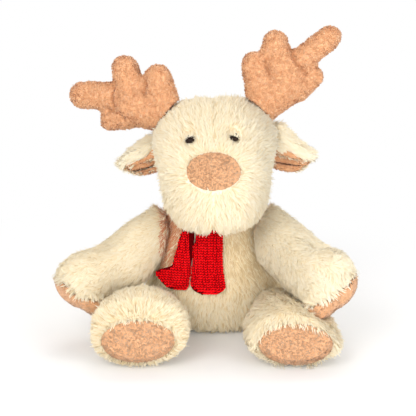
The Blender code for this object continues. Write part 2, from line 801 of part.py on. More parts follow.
def make_leg(side, torso):
    leg = add_object(f"leg_{side}", leg_form(f"leg_{side}", side), "cream_pile")
    boolean(leg, floor_cutter())
    spread = turns("Z", *(SIDES[side] * d for d in (*LEG_SPREAD_DEGREES, sum(LEG_SPREAD_DEGREES) / 2)))
    if side == LYING_HAND:
        hand = add_object(f"arm_{side}_on_leg", arm_form(f"arm_{side}_on_leg", side))
        cut_clear(leg, hand, REST_GAP + PATCH_THICKNESS, hip(side), spread)
    patch_form = add_object(f"leg_{side}_plain", leg.data.copy())
    cut_clear(leg, torso, SEAM_GAP, hip(side), spread)
    down = math.radians(FOOT_PAD_DOWN_DEGREES)
    outwards = math.atan2(FOOT_OUT[side] - HIP_OUT, SOLE_FRONT)
    normal = Vector((SIDES[side] * math.sin(outwards), -math.cos(outwards), -math.sin(down)))
    place = Vector((SIDES[side] * FOOT_OUT[side], -SOLE_FRONT, FOOT_PAD_HEIGHT[side]))
    pad = velvet_patch(
        f"foot_pad_{side}", patch_form, place, normal, FOOT_PAD_HALF_WIDTH, FOOT_PAD_HALF_HEIGHT
    )
    boolean(pad, floor_cutter())
    return [leg, pad]


def wrap_bottom():
    return TORSO_HEIGHT - WRAP_DROP


def tail_top():
    return wrap_bottom() - SCARF_TAIL_DROP


def make_scarf_wrap(torso):
    """A turn of knitting round the neck, under the head."""
    form = bmesh.new()
    middle = Vector((WRAP_RADIUS - WRAP_DEPTH / 2, 0, wrap_bottom() + WRAP_HEIGHT / 2))
    section = []
    for i in range(WRAP_SECTION):
        across, along = rounded(2 * math.pi * i / WRAP_SECTION)
        offset = Vector((across * WRAP_DEPTH / 2, 0, along * WRAP_HEIGHT / 2))
        section.append(form.verts.new(middle + offset))
    edges = [form.edges.new((section[i - 1], section[i])) for i in range(WRAP_SECTION)]
    bmesh.ops.spin(
        form, geom=section + edges, axis=(0, 0, 1), steps=WRAP_STEPS, angle=2 * math.pi, use_merge=True
    )
    bmesh.ops.recalc_face_normals(form, faces=form.faces)
    mesh = bpy.data.meshes.new("scarf_wrap")
    form.to_mesh(mesh)
    form.free()
    wrap = add_object("scarf_wrap", mesh, "red_knit")
    cut_clear(wrap, torso, SCARF_GAP)
    return wrap


def over_chest(chest, x, height, lift):
    """A place above the chest. Past the cling reach, knitting stands off and hangs straight."""
    reach = CLING_SHARE * SCARF_TAIL_WIDTH
    on_chest = max(-reach, min(reach, x))
    aim = Vector((on_chest, -MUZZLE_REACH, height))
    place, normal, _, _ = chest.ray_cast(aim, Vector((0, 1, 0)))
    past = abs(x - on_chest)
    back = past * math.tan(math.radians(CLING_SLOPE_DEGREES))
    return place + normal * lift + Vector((x - on_chest, back, 0))


def chest_cloth(name, rows, chest, gap):
    """A strip of knitting that lies on the chest. Each row gives its height and its two edges."""
    form = bmesh.new()
    sheets = {}
    for lift in (gap, gap + SCARF_THICKNESS):
        grid = []
        for height, start, end in rows:
            line = []
            for i in range(SCARF_ACROSS + 1):
                x = start + (end - start) * i / SCARF_ACROSS
                line.append(form.verts.new(over_chest(chest, x, height, lift)))
            grid.append(line)
        sheets[lift] = grid
    inner, outer = sheets.values()
    rim = []
    for upper, lower in zip(range(len(rows) - 1), range(1, len(rows))):
        for i in range(SCARF_ACROSS):
            form.faces.new((outer[upper][i], outer[lower][i], outer[lower][i + 1], outer[upper][i + 1]))
            form.faces.new((inner[upper][i], inner[upper][i + 1], inner[lower][i + 1], inner[lower][i]))
    for grid in (outer, inner):
        around = list(grid[0]) + [line[-1] for line in grid[1:]]
        around += list(reversed(grid[-1][:-1])) + [line[0] for line in reversed(grid[1:-1])]
        rim.append(around)
    for i in range(len(rim[0])):
        j = (i + 1) % len(rim[0])
        form.faces.new((rim[0][i], rim[0][j], rim[1][j], rim[1][i]))
    bmesh.ops.recalc_face_normals(form, faces=form.faces)
    mesh = bpy.data.meshes.new(name)
    form.to_mesh(mesh)
    form.free()
    return add_object(name, mesh, "red_knit")


def scarf_tail_rows(side):
    table = SCARF_TAIL_SHARES[side]
    count = 9
    rows = []
    for i in range(count + 1):
        share = table[-1][0] * i / count
        _, start, end = table_at(table, share)
        height = tail_top() - share * SCARF_TAIL_LENGTH_SHARE * TORSO_HEIGHT
        rows.append((height, start * SCARF_TAIL_WIDTH, end * SCARF_TAIL_WIDTH))
    return rows


def scarf_pivot(side, chest):
    """On the outside of a tail's top edge, under the crossing, as far to the front as it goes."""
    _, start, end = scarf_tail_rows(side)[0]
    lift = SCARF_GAP + SCARF_THICKNESS
    places = [
        over_chest(chest, start + (end - start) * i / SCARF_ACROSS, tail_top(), lift)
        for i in range(SCARF_ACROSS + 1)
    ]
    front = min(place.y for place in places)
    top = max(place.z for place in places)
    return Vector(((start + end) / 2, front, top))


def make_scarf(chest):
    low, high = tail_top() + SEAM_GAP, wrap_bottom() - SEAM_GAP
    left_edge, right_edge = CROSSING_OUT - CROSSING_HALF_WIDTH, CROSSING_OUT + CROSSING_HALF_WIDTH
    rows = [(high + (low - high) * i / 2, left_edge, right_edge) for i in range(3)]
    chest_cloth("scarf_crossing", rows, chest, SCARF_GAP)
    for side in SIDES:
        tail = chest_cloth(f"scarf_tail_{side}", scarf_tail_rows(side), chest, SCARF_GAP)
        pivot_empty(f"scarf_{side}_pivot", scarf_pivot(side, chest), [tail])


def main():
    clear_scene()
    torso = make_torso()
    make_tail(torso)
    head = make_head()
    head_surface = surface_of(head.data)
    on_head = [make_nose(head, head_surface)]
    antlers = {side: make_antler(side, head) for side in SIDES}
    ears = {side: make_ear(side, head, antlers[side]) for side in SIDES}
    legs = {side: make_leg(side, torso) for side in SIDES}
    wrap = make_scarf_wrap(torso)
    arms = {side: make_arm(side, torso, wrap, legs[side][0]) for side in SIDES}
    on_head += make_eyes(head, head_surface)
    hollow_head(head)
    make_scarf(surface_of(torso.data))

    pivot_empty("neck_pivot", Vector((0, 0, TORSO_HEIGHT)), [head, *on_head])
    for side in SIDES:
        pivot_empty(f"antler_{side}_pivot", antler_root(side), [antlers[side]])
        pivot_empty(f"ear_{side}_pivot", ear_root(side), ears[side])
        pivot_empty(f"arm_{side}_pivot", shoulder(side), arms[side])
        pivot_empty(f"leg_{side}_pivot", hip(side), legs[side])


main()
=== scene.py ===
"""A plush deer with a red scarf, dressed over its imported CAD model.

Each stuffed form gets a smooth skin inside its CAD solid and a pile of separate tufts on it. The
tufts lie the way the pile is brushed, gather in locks, and stay clear of what lies against the
form. The scarf is knitted stitch by stitch. Metres, +Z up, the deer faces -Y.
"""

import math

import bpy
import numpy as np
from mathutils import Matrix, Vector
from mathutils.bvhtree import BVHTree
from mathutils.kdtree import KDTree
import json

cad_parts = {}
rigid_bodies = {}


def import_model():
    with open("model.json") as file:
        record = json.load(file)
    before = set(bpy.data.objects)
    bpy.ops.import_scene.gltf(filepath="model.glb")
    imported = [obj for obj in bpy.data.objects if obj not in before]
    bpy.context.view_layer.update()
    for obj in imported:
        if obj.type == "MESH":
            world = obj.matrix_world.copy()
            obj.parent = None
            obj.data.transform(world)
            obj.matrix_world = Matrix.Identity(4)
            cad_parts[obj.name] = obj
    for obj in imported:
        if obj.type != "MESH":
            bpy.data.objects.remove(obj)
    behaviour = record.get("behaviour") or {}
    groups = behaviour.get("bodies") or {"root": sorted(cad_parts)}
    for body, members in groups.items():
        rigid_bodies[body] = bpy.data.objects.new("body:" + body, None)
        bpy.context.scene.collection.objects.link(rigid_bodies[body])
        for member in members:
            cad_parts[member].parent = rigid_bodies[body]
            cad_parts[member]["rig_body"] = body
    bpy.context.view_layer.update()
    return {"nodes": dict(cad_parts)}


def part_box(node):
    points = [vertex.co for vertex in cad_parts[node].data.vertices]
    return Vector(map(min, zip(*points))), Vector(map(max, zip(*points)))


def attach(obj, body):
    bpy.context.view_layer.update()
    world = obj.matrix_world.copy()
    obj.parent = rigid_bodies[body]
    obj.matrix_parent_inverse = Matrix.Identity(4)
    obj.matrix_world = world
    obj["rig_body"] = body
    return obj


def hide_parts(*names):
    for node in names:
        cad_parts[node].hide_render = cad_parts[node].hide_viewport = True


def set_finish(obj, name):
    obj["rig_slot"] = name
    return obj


MM = 0.001

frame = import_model()
nodes = frame["nodes"]


# ---------------------------------------------------------------- camera, light and floor

EYE = Vector((-0.0061, -1.29138, 0.42456))
AIM = Vector((-0.0061, -0.030, 0.11006))
FOCAL_LENGTH = 128.28
WHITE = (1.0, 1.0, 1.0, 1.0)
# Name, place, aim, size, power and colour
LIGHTS = (
    ("key", (-0.62, -1.30, 0.85), (0, -0.03, 0.10), 1.00, 12.6, (1.0, 0.985, 0.955)),
    ("fill", (1.05, -1.25, 0.38), (0, -0.03, 0.10), 1.10, 12.6, (0.96, 0.98, 1.0)),
    ("front", (-0.03, -1.50, 0.24), (0, -0.03, 0.06), 0.60, 4.4, (1.0, 0.99, 0.97)),
    ("back", (0.15, 0.75, 1.45), (0, 0.0, 0.12), 1.00, 7.5, (1.0, 1.0, 1.0)),
)
ROOM_LIGHT = 0.66
FLOOR_REACH = 6.0
FLOOR_GLOW = 0.10
GLOW_FROM, GLOW_TO = 0.12, 0.42  # how far out the floor's glow grows to plain white


def add(name, data):
    made = bpy.data.objects.new(name, data)
    bpy.context.scene.collection.objects.link(made)
    return made


def look(thing, place, aim):
    thing.location = place
    thing.rotation_euler = (Vector(aim) - Vector(place)).to_track_quat("-Z", "Y").to_euler()


def make_camera():
    camera = add("camera", bpy.data.cameras.new("camera"))
    camera.data.lens = FOCAL_LENGTH
    camera.data.sensor_width = 36.0
    camera.data.sensor_fit = "HORIZONTAL"
    camera.data.clip_start = 0.05
    camera.data.clip_end = 30.0
    look(camera, EYE, AIM)
    bpy.context.scene.camera = camera


def shader_node(tree, kind, values=(), links=(), **settings):
    """A shader node, with values for its inputs and the sockets linked to them."""
    made = tree.nodes.new(f"ShaderNode{kind}")
    for key, value in settings.items():
        setattr(made, key, value)
    for key, value in dict(values).items():
        made.inputs[key].default_value = value
    for key, source in dict(links).items():
        tree.links.new(source, made.inputs[key])
    return made


def make_lights():
    for name, place, aim, size, power, colour in LIGHTS:
        light = bpy.data.lights.new(name, "AREA")
        light.shape = "DISK"
        light.size = size
        light.energy = power
        light.color = colour
        look(add(name, light), place, aim)
    world = bpy.data.worlds.new("studio")
    bpy.context.scene.world = world
    world.use_nodes = True
    tree = world.node_tree
    tree.nodes.clear()
    room = shader_node(tree, "Background", {"Color": (1.0, 0.995, 0.98, 1.0), "Strength": ROOM_LIGHT})
    seen = shader_node(tree, "Background", {"Color": WHITE, "Strength": 1.0})
    links = {"Fac": seen_rays(tree), 1: room.outputs[0], 2: seen.outputs[0]}
    mix = shader_node(tree, "MixShader", links=links)
    shader_node(tree, "OutputWorld", links={"Surface": mix.outputs[0]})


def seen_rays(tree):
    """1 for rays from the camera, and for those that gloss or glass sends on."""
    path = shader_node(tree, "LightPath")
    out = path.outputs["Is Camera Ray"]
    for kind in ("Is Glossy Ray", "Is Transmission Ray"):
        links = {0: out, 1: path.outputs[kind]}
        out = shader_node(tree, "Math", links=links, operation="MAXIMUM").outputs[0]
    return out


def make_floor():
    """White paper. Its far parts are seen as plain white, and near the deer it keeps the shadow."""
    reach = FLOOR_REACH
    mesh = bpy.data.meshes.new("floor")
    corners = [(-reach, -reach, 0), (reach, -reach, 0), (reach, reach, 0), (-reach, reach, 0)]
    mesh.from_pydata(corners, [], [(0, 1, 2, 3)])
    floor = add("floor", mesh)
    paper = bpy.data.materials.new("floor_paper")
    paper.use_nodes = True
    tree = paper.node_tree
    tree.nodes.clear()
    diffuse = shader_node(tree, "BsdfDiffuse", {"Color": (0.93, 0.93, 0.935, 1.0)})
    glow = shader_node(tree, "Emission", {"Color": WHITE})
    place = shader_node(tree, "TexCoord")
    far = shader_node(tree, "VectorMath", links={0: place.outputs["Object"]}, operation="LENGTH")
    fade = shader_node(
        tree,
        "MapRange",
        {"From Min": GLOW_FROM, "From Max": GLOW_TO, "To Min": FLOOR_GLOW, "To Max": 1.0},
        {"Value": far.outputs["Value"]},
        interpolation_type="SMOOTHSTEP",
    )
    links = {0: seen_rays(tree), 1: fade.outputs["Result"]}
    share = shader_node(tree, "Math", links=links, operation="MULTIPLY")
    links = {"Fac": share.outputs[0], 1: diffuse.outputs[0], 2: glow.outputs[0]}
    both = shader_node(tree, "MixShader", links=links)
    shader_node(tree, "OutputMaterial", links={"Surface": both.outputs[0]})
    mesh.materials.append(paper)


# ---------------------------------------------------------------- materials


def principled(name, roughness, sheen=0.0, specular=0.3):
    made = bpy.data.materials.new(name)
    made.use_nodes = True
    shader = made.node_tree.nodes["Principled BSDF"]
    shader.inputs["Roughness"].default_value = roughness
    shader.inputs["Specular IOR Level"].default_value = specular
    shader.inputs["Sheen Weight"].default_value = sheen
    shader.inputs["Sheen Roughness"].default_value = 0.5
    return made, made.node_tree, shader


def ramp(tree, source, stops):
    made = shader_node(tree, "ValToRGB", links={"Fac": source})
    elements = made.color_ramp.elements
    while len(elements) < len(stops):
        elements.new(0.5)
    for element, (place, colour) in zip(elements, stops):
        element.position = place
        element.color = (*colour, 1.0)
    return made.outputs["Color"]


def greys(*stops):
    return [(place, (level,) * 3) for place, level in stops]


def noise(tree, scale, detail=4.0, roughness=0.55):
    place = shader_node(tree, "TexCoord")
    values = {"Scale": scale, "Detail": detail, "Roughness": roughness}
    return shader_node(tree, "TexNoise", values, {"Vector": place.outputs["Object"]}).outputs["Fac"]


def bump(tree, shader, height, strength, distance):
    values = {"Strength": strength, "Distance": distance}
    made = shader_node(tree, "Bump", values, {"Height": height})
    tree.links.new(made.outputs["Normal"], shader.inputs["Normal"])


def by_strip(tree, tints, along):
    """Colour by tuft or stitch, from one side of its UV strip to the other, and from root to tip."""
    uv = shader_node(tree, "UVMap", uv_map="OFBake")
    parts = shader_node(tree, "SeparateXYZ", links={0: uv.outputs["UV"]})
    links = {"A": ramp(tree, parts.outputs["X"], tints), "B": ramp(tree, parts.outputs["Y"], along)}
    made = tree.nodes.new("ShaderNodeMix")
    made.data_type = "RGBA"
    made.blend_type = "MULTIPLY"
    made.inputs["Factor"].default_value = 1.0
    for key, source in links.items():
        tree.links.new(source, made.inputs[key])
    return made.outputs["Result"]


THROUGH = 0.34  # the share of light that fibres let through


def pile_material(name, tints, along, roughness, sheen):
    made, tree, shader = principled(name, roughness, sheen, 0.15)
    colour = by_strip(tree, tints, along)
    tree.links.new(colour, shader.inputs["Base Color"])
    through = shader_node(tree, "BsdfTranslucent", links={"Color": colour})
    links = {1: shader.outputs[0], 2: through.outputs[0]}
    both = shader_node(tree, "MixShader", {"Fac": THROUGH}, links)
    out = next(node for node in tree.nodes if node.type == "OUTPUT_MATERIAL")
    tree.links.new(both.outputs[0], out.inputs["Surface"])
    return made


def grained_material(name, stops, scale, finish, grain, strength, depth):
    """Mottled colour and a fine grain. finish is roughness, sheen and specular level."""
    made, tree, shader = principled(name, *finish)
    tree.links.new(ramp(tree, noise(tree, scale), stops), shader.inputs["Base Color"])
    if grain:
        bump(tree, shader, noise(tree, *grain), strength, depth)
    return made


CREAM_PILE = pile_material(
    "cream_pile",
    (
        (0.00, (0.80, 0.66, 0.42)),
        (0.14, (0.95, 0.83, 0.60)),
        (0.30, (0.98, 0.90, 0.71)),
        (0.60, (1.00, 0.94, 0.79)),
        (0.86, (1.00, 0.97, 0.86)),
        # Past this, painted shade: pile tinted reddish brown as if lit by red light bounced off the
        # scarf
        (0.90, (0.80, 0.44, 0.26)),
        (1.00, (0.70, 0.30, 0.17)),
    ),
    # Root to tip: darker toward the root, painted shade deep in the pile
    ((0.0, (0.94, 0.83, 0.66)), (0.35, (0.98, 0.95, 0.89)), (1.0, (1.0, 1.0, 1.0))),
    0.9,
    0.3,
)
TAN_PILE = pile_material(
    "tan_pile",
    (
        (0.00, (0.72, 0.37, 0.19)),
        (0.40, (0.84, 0.49, 0.27)),
        (0.80, (0.90, 0.58, 0.36)),
        (1.00, (0.96, 0.70, 0.50)),
    ),
    # Root to tip: darker toward the root, painted shade deep in the nap
    ((0.0, (0.74, 0.64, 0.56)), (0.5, (0.95, 0.92, 0.88)), (1.0, (1.0, 1.0, 1.0))),
    0.9,
    0.35,
)
PATCH_PILE = pile_material(
    "patch_pile",
    ((0.00, (0.49, 0.295, 0.17)), (0.50, (0.56, 0.37, 0.24)), (1.00, (0.68, 0.50, 0.36))),
    # Root to tip: darker toward the root, painted shade deep in the nap
    ((0.0, (0.80, 0.72, 0.64)), (0.5, (0.96, 0.94, 0.91)), (1.0, (1.0, 1.0, 1.0))),
    0.9,
    0.35,
)
CREAM_SKIN = grained_material(
    "cream_skin", ((0.3, (0.93, 0.84, 0.63)), (0.7, (0.97, 0.91, 0.73))),
    400.0, (0.95, 0.1, 0.2), (400.0 * 2.2, 6.0, 0.7), 0.7, 0.0006,
)
TAN_SKIN = grained_material(
    "tan_skin", ((0.3, (0.62, 0.31, 0.15)), (0.7, (0.78, 0.45, 0.25))),
    500.0, (0.95, 0.3, 0.2), (500.0 * 2.2, 6.0, 0.7), 0.7, 0.0005,
)
# Painted shade: the cloth under the knit is a very dark red, standing for the shade between the
# stitches and in the turned-back fold.
SCARF_SHADE = grained_material(
    "scarf_inside", ((0.3, (0.07, 0.0, 0.001)), (0.7, (0.14, 0.0, 0.002))),
    700.0, (0.95, 0.0, 0.05), (900.0, 3.0, 0.6), 0.7, 0.0005,
)


def yarn_material():
    made, tree, shader = principled("red_yarn", 0.9, 0.0, 0.08)
    tints = ((0.0, (0.66, 0.000, 0.003)), (0.5, (0.96, 0.003, 0.008)), (1.0, (1.00, 0.010, 0.016)))
    # Painted shade: each strand is darker toward its ends, where it dives into the knit
    depth = greys((0.0, 0.05), (0.22, 0.45), (0.45, 1.0), (0.8, 1.0), (1.0, 0.15))
    tree.links.new(by_strip(tree, tints, depth), shader.inputs["Base Color"])
    bump(tree, shader, noise(tree, 3500.0, 3.0, 0.6), 0.5, 0.0002)
    return made


YARN = yarn_material()


def eye_material():
    return grained_material(
        "eye_plastic", ((0.4, (0.012, 0.006, 0.004)), (0.6, (0.026, 0.013, 0.007))),
        300.0, (0.35, 0.0, 0.12), (900.0, 2.0), 0.04, 0.0001,
    )


def washer_material():
    stops = ((0.3, (0.70, 0.70, 0.67)), (0.7, (0.78, 0.78, 0.75)))
    return grained_material("washer_plastic", stops, 400.0, (0.45,), None, 0.0, 0.0)


# ---------------------------------------------------------------- skins


def skin_of(node, voxel, relax, inset, material, shape=None):
    """A smooth copy of a CAD node, a little inside it, that stands for it."""
    skin = add(f"{node}_skin", nodes[node].data.copy())
    skin.data.materials.clear()
    grid = skin.modifiers.new("grid", "REMESH")
    grid.mode = "VOXEL"
    grid.voxel_size = voxel
    soften = skin.modifiers.new("soften", "SMOOTH")
    soften.factor = 0.5
    soften.iterations = relax
    if inset:
        shrink = skin.modifiers.new("shrink", "DISPLACE")
        shrink.mid_level = 0.0
        shrink.strength = -inset
    bpy.context.view_layer.update()
    seen = skin.evaluated_get(bpy.context.evaluated_depsgraph_get())
    mesh = bpy.data.meshes.new_from_object(seen)
    skin.modifiers.clear()
    skin.data = mesh
    if shape:
        reshape(mesh, shape)
    mesh.materials.append(material)
    mesh.shade_smooth()
    stand_for(skin, node)
    return skin


def stand_for(piece, node):
    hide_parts(node)
    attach(piece, nodes[node]["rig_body"])
    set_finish(piece, frame_slot(node))


def frame_slot(node):
    found = nodes[node].data.materials
    return found[0].name if len(found) and found[0] else "cream_pile"


def reshape(mesh, shape):
    """Moves a mesh's points by a function of place and normal, which gives lengths along the
    normals, or vectors."""
    points, normals = mesh_points(mesh)
    by = shape(points, normals)
    points = points + (by if by.ndim == 2 else normals * by[:, None])
    mesh.vertices.foreach_set("co", points.astype(np.float32).ravel())
    mesh.update()


def mesh_points(mesh):
    count = len(mesh.vertices)
    points = np.empty(count * 3, np.float32)
    normals = np.empty(count * 3, np.float32)
    mesh.vertices.foreach_get("co", points)
    mesh.vertices.foreach_get("normal", normals)
    return points.reshape(-1, 3).astype(float), normals.reshape(-1, 3).astype(float)


# ---------------------------------------------------------------- pile


def unit(vectors):
    return vectors / np.maximum(np.linalg.norm(vectors, axis=1, keepdims=True), 1e-9)


def grows(x, start, span):
    """0 up to a start, 1 from a span past it on."""
    return np.clip((x - start) / span, 0, 1)


def shrinks(x, end, span):
    """1 up to a span before an end, 0 from the end on."""
    return np.clip((end - x) / span, 0, 1)


def bell(x, width):
    """1 at zero, falling to nothing about a width away."""
    return np.exp(-((x / width) ** 2))


WAVES = 7  # in one wobble


def wobble(points, size, seed):
    """Smooth vectors that change over about a size, the same on each run."""
    rng = np.random.default_rng(seed)
    out = np.zeros((len(points), 3))
    for axis in range(3):
        k = unit(rng.normal(size=(WAVES, 3))) * (2 * math.pi / size) * rng.uniform(0.6, 1.5, (WAVES, 1))
        phase = rng.uniform(0, 2 * math.pi, WAVES)
        out[:, axis] = np.sin(points @ k.T + phase).sum(1) / math.sqrt(WAVES)
    return out


def mesh_triangles(mesh):
    mesh.calc_loop_triangles()
    corners = np.empty(len(mesh.loop_triangles) * 3, np.int32)
    mesh.loop_triangles.foreach_get("vertices", corners)
    return corners.reshape(-1, 3)


def surface_samples(mesh, count, rng):
    """Random places on a mesh and their normals, evenly by area."""
    corners = mesh_triangles(mesh)
    points, normals = mesh_points(mesh)
    a, b, c = (points[corners[:, i]] for i in range(3))
    area = np.linalg.norm(np.cross(b - a, c - a), axis=1)
    which = np.searchsorted(np.cumsum(area) / area.sum(), rng.uniform(0, 1, count))
    which = np.minimum(which, len(corners) - 1)
    u, v = rng.uniform(0, 1, (2, count))
    over = u + v > 1
    u[over], v[over] = 1 - u[over], 1 - v[over]
    first, second, third = corners[which].T
    shares = (1 - u - v)[:, None], u[:, None], v[:, None]

    def between(values):
        return values[first] * shares[0] + values[second] * shares[1] + values[third] * shares[2]

    return between(points), unit(between(normals))


shaped = {}  # reshaped skins that neighbours heed beside the CAD solids, by node


def triangles_of(names, reshaped_only=False):
    points, faces = [], []
    base = 0
    plain = [nodes[name].data for name in names if not (reshaped_only and name in shaped)]
    for mesh in plain + [shaped[name].data for name in names if name in shaped]:
        points.append(mesh_points(mesh)[0])
        faces.append(mesh_triangles(mesh) + base)
        base += len(points[-1])
    return np.concatenate(points), np.concatenate(faces)


def tree_of(names, reshaped_only=False):
    """One search tree of these CAD nodes, and of their reshaped skins."""
    if not names:
        return None
    points, faces = triangles_of(names, reshaped_only)
    return BVHTree.FromPolygons(points.tolist(), faces.tolist())


CELL = 15 * MM
FAR_CELL = 1000  # keeps the cells' numbers positive
KEY = np.array([1, 4096, 4096**2])


def near(places, names):
    """Which places have one of these CAD nodes within about a cell."""
    if not names:
        return np.zeros(len(places), bool)
    points, faces = triangles_of(names)
    home = np.floor(np.concatenate([points, points[faces].mean(1)]) / CELL).astype(int)
    steps = np.stack(np.meshgrid(*[(-1, 0, 1)] * 3), axis=-1).reshape(-1, 3)
    taken = np.unique((np.unique(home, axis=0)[:, None] + steps[None] + FAR_CELL).reshape(-1, 3) @ KEY)
    return np.isin((np.floor(places / CELL).astype(int) + FAR_CELL) @ KEY, taken)


def hits(tree, starts, directions, reach, wanted):
    """How far each wanted ray runs before it meets the tree, or the reach."""
    out = np.array(np.broadcast_to(reach, len(starts)), float)
    if tree is None:
        return out
    for i in np.flatnonzero(wanted):
        found = tree.ray_cast(Vector(starts[i]), Vector(directions[i]), out[i])
        if found[0] is not None:
            out[i] = found[3]
    return out


# A tuft has three points at each level, as wide apart as SPREAD says, and one at its tip. The middle
# ones make a ridge.
LEVELS = np.array([0.0, 0.36, 0.72])
SPREAD = np.array([0.75, 1.0, 0.62])
RIDGE = 0.32
TUFT_FACES = np.array(
    [
        (0, 1, 4), (0, 4, 3), (1, 2, 5), (1, 5, 4),
        (3, 4, 7), (3, 7, 6), (4, 5, 8), (4, 8, 7),
        (6, 7, 9), (7, 8, 9),
    ]
)


def tuft_mesh(name, root, mid, tip, side, up, width, normal, tint, material):
    """Tapered, ridged blades on curves from root past mid to tip."""
    count = len(root)
    verts = np.empty((count, 10, 3))
    shade = np.empty((count, 10, 3))
    uv = np.empty((count, 10, 2))
    for level, (share, spread) in enumerate(zip(LEVELS, SPREAD)):
        centre = root * (1 - share) ** 2 + mid * 2 * share * (1 - share) + tip * share**2
        half = side * (width * spread)[:, None] / 2
        ridge = up * (width * spread)[:, None] * RIDGE
        lanes = (centre - half, -RIDGE), (centre + ridge, 0.0), (centre + half, RIDGE)
        for lane, (place, lean) in enumerate(lanes):
            corner = level * 3 + lane
            verts[:, corner] = place
            shade[:, corner] = normal + side * lean
            uv[:, corner, 0] = tint + (lane - 1) * 0.004
            uv[:, corner, 1] = 0.03 + 0.94 * share
    verts[:, 9] = tip
    shade[:, 9] = normal
    uv[:, 9, 0] = tint
    uv[:, 9, 1] = 0.97
    faces = (TUFT_FACES[None] + 10 * np.arange(count)[:, None, None]).reshape(-1, 3)
    return raw_mesh(
        name, verts.reshape(-1, 3), faces, uv.reshape(-1, 2), unit(shade.reshape(-1, 3)), material
    )


def raw_mesh(name, verts, faces, uv, shade, material):
    """A mesh from arrays, with custom normals where shade isn't None."""
    mesh = bpy.data.meshes.new(name)
    mesh.vertices.add(len(verts))
    mesh.vertices.foreach_set("co", verts.astype(np.float32).ravel())
    mesh.loops.add(faces.size)
    mesh.loops.foreach_set("vertex_index", faces.astype(np.int32).ravel())
    mesh.polygons.add(len(faces))
    mesh.polygons.foreach_set("loop_start", np.arange(0, faces.size, faces.shape[1], dtype=np.int32))
    mesh.polygons.foreach_set("use_smooth", np.ones(len(faces), bool))
    layer = mesh.uv_layers.new(name="OFBake")
    layer.data.foreach_set("uv", uv[faces.ravel()].astype(np.float32).ravel())
    mesh.update(calc_edges=True)
    if shade is not None:
        mesh.normals_split_custom_set_from_vertices(shade.astype(np.float32))
    mesh.materials.append(material)
    return mesh


PIECE_TUFTS = 19500  # in one piece of pile
LOOK_OVER = 9 * MM  # how far from the skin a neighbour presses the pile
LOOK_UNDER = 6.5 * MM  # how far from the skin a patch parts it
TIGHT = 1.3 * MM  # with less room no tuft grows
FLOOR_GAP = 0.2 * MM
TINTS = 97  # steps of a tuft's tint


def leant(sewn, place, own, leaning, rng):
    """Turns the chosen tufts towards the patch beside them, unless it is too far."""
    for i in np.flatnonzero(leaning):
        spot, *_, far = sewn.find_nearest(Vector(place[i]))
        leaning[i] = far < 5.5 * MM
        if leaning[i]:
            towards = unit(np.array(spot - Vector(place[i]))[None])[0]
            own[i] = towards + 0.35 * own[i] + 0.2 * rng.normal(size=3)


def in_locks(skin, place, own, tip, lock, pull, rng):
    """Tips drawn together towards the tip of the nearest lock."""
    spots = rng.permutation(len(place))[: max(8, int(skin_area(skin) / lock**2 * 1.4))]
    finder = KDTree(len(spots))
    for i, spot in enumerate(spots):
        finder.insert(Vector(place[spot]), i)
    finder.balance()
    nearest = np.array([finder.find(Vector(point))[1] for point in place + own * 0.5 * MM])
    centre = spots[nearest]
    near_lock = np.linalg.norm(place - place[centre], axis=1) < lock
    share = np.where(near_lock, pull * rng.uniform(0.5, 1.3, len(place)), 0.0)[:, None]
    return tip * (1 - share) + tip[centre] * share


def pressed_flat(others, place, normal, tip, room, close):
    """Tips with room over them and a clear line from the root, that room, and the share left."""
    height = ((tip - place) * normal).sum(1)
    foot = tip - normal * height[:, None]
    room = np.minimum(room, hits(others, foot, normal, LOOK_OVER, close))
    pressed = np.where(close, np.minimum(height, np.maximum(room - 0.9 * MM, 0.25 * MM)), height)
    tip = tip + normal * (pressed - height)[:, None]
    start = place + normal * 0.5 * MM
    span = tip - start
    run = np.linalg.norm(span, axis=1)
    clear = hits(others, start, unit(span), run + 0.8 * MM, close)
    cut = grows(clear, 0.6 * MM, run)
    cut[~close] = 1.0
    return start + span * cut[:, None], room, cut


def parted(sewn, place, normal, tip, size, edge, leaning, over_by, rng):
    """Ends tufts before a patch, or lays them over its edge. Gives how far each is lifted."""
    lifted = np.zeros(len(place))
    start = place + normal * 0.8 * MM
    span = tip - start
    run = np.linalg.norm(span, axis=1)
    clear = hits(sewn, start, unit(span), run, edge)
    met = clear < run - 0.01 * MM
    over = met & leaning
    short = met & ~over
    tip[short] = (start + span * grows(clear, 0.3 * MM, run)[:, None])[short]
    size[short] *= np.clip(clear / run, 0, 1)[short]
    reach = np.minimum(run, clear + over_by * rng.uniform(0.4, 1.25, len(place)))
    laid = start + span * (reach / run)[:, None] + normal * 3.9 * MM
    tip[over] = laid[over]
    lifted[over] = 3.8 * MM
    return lifted


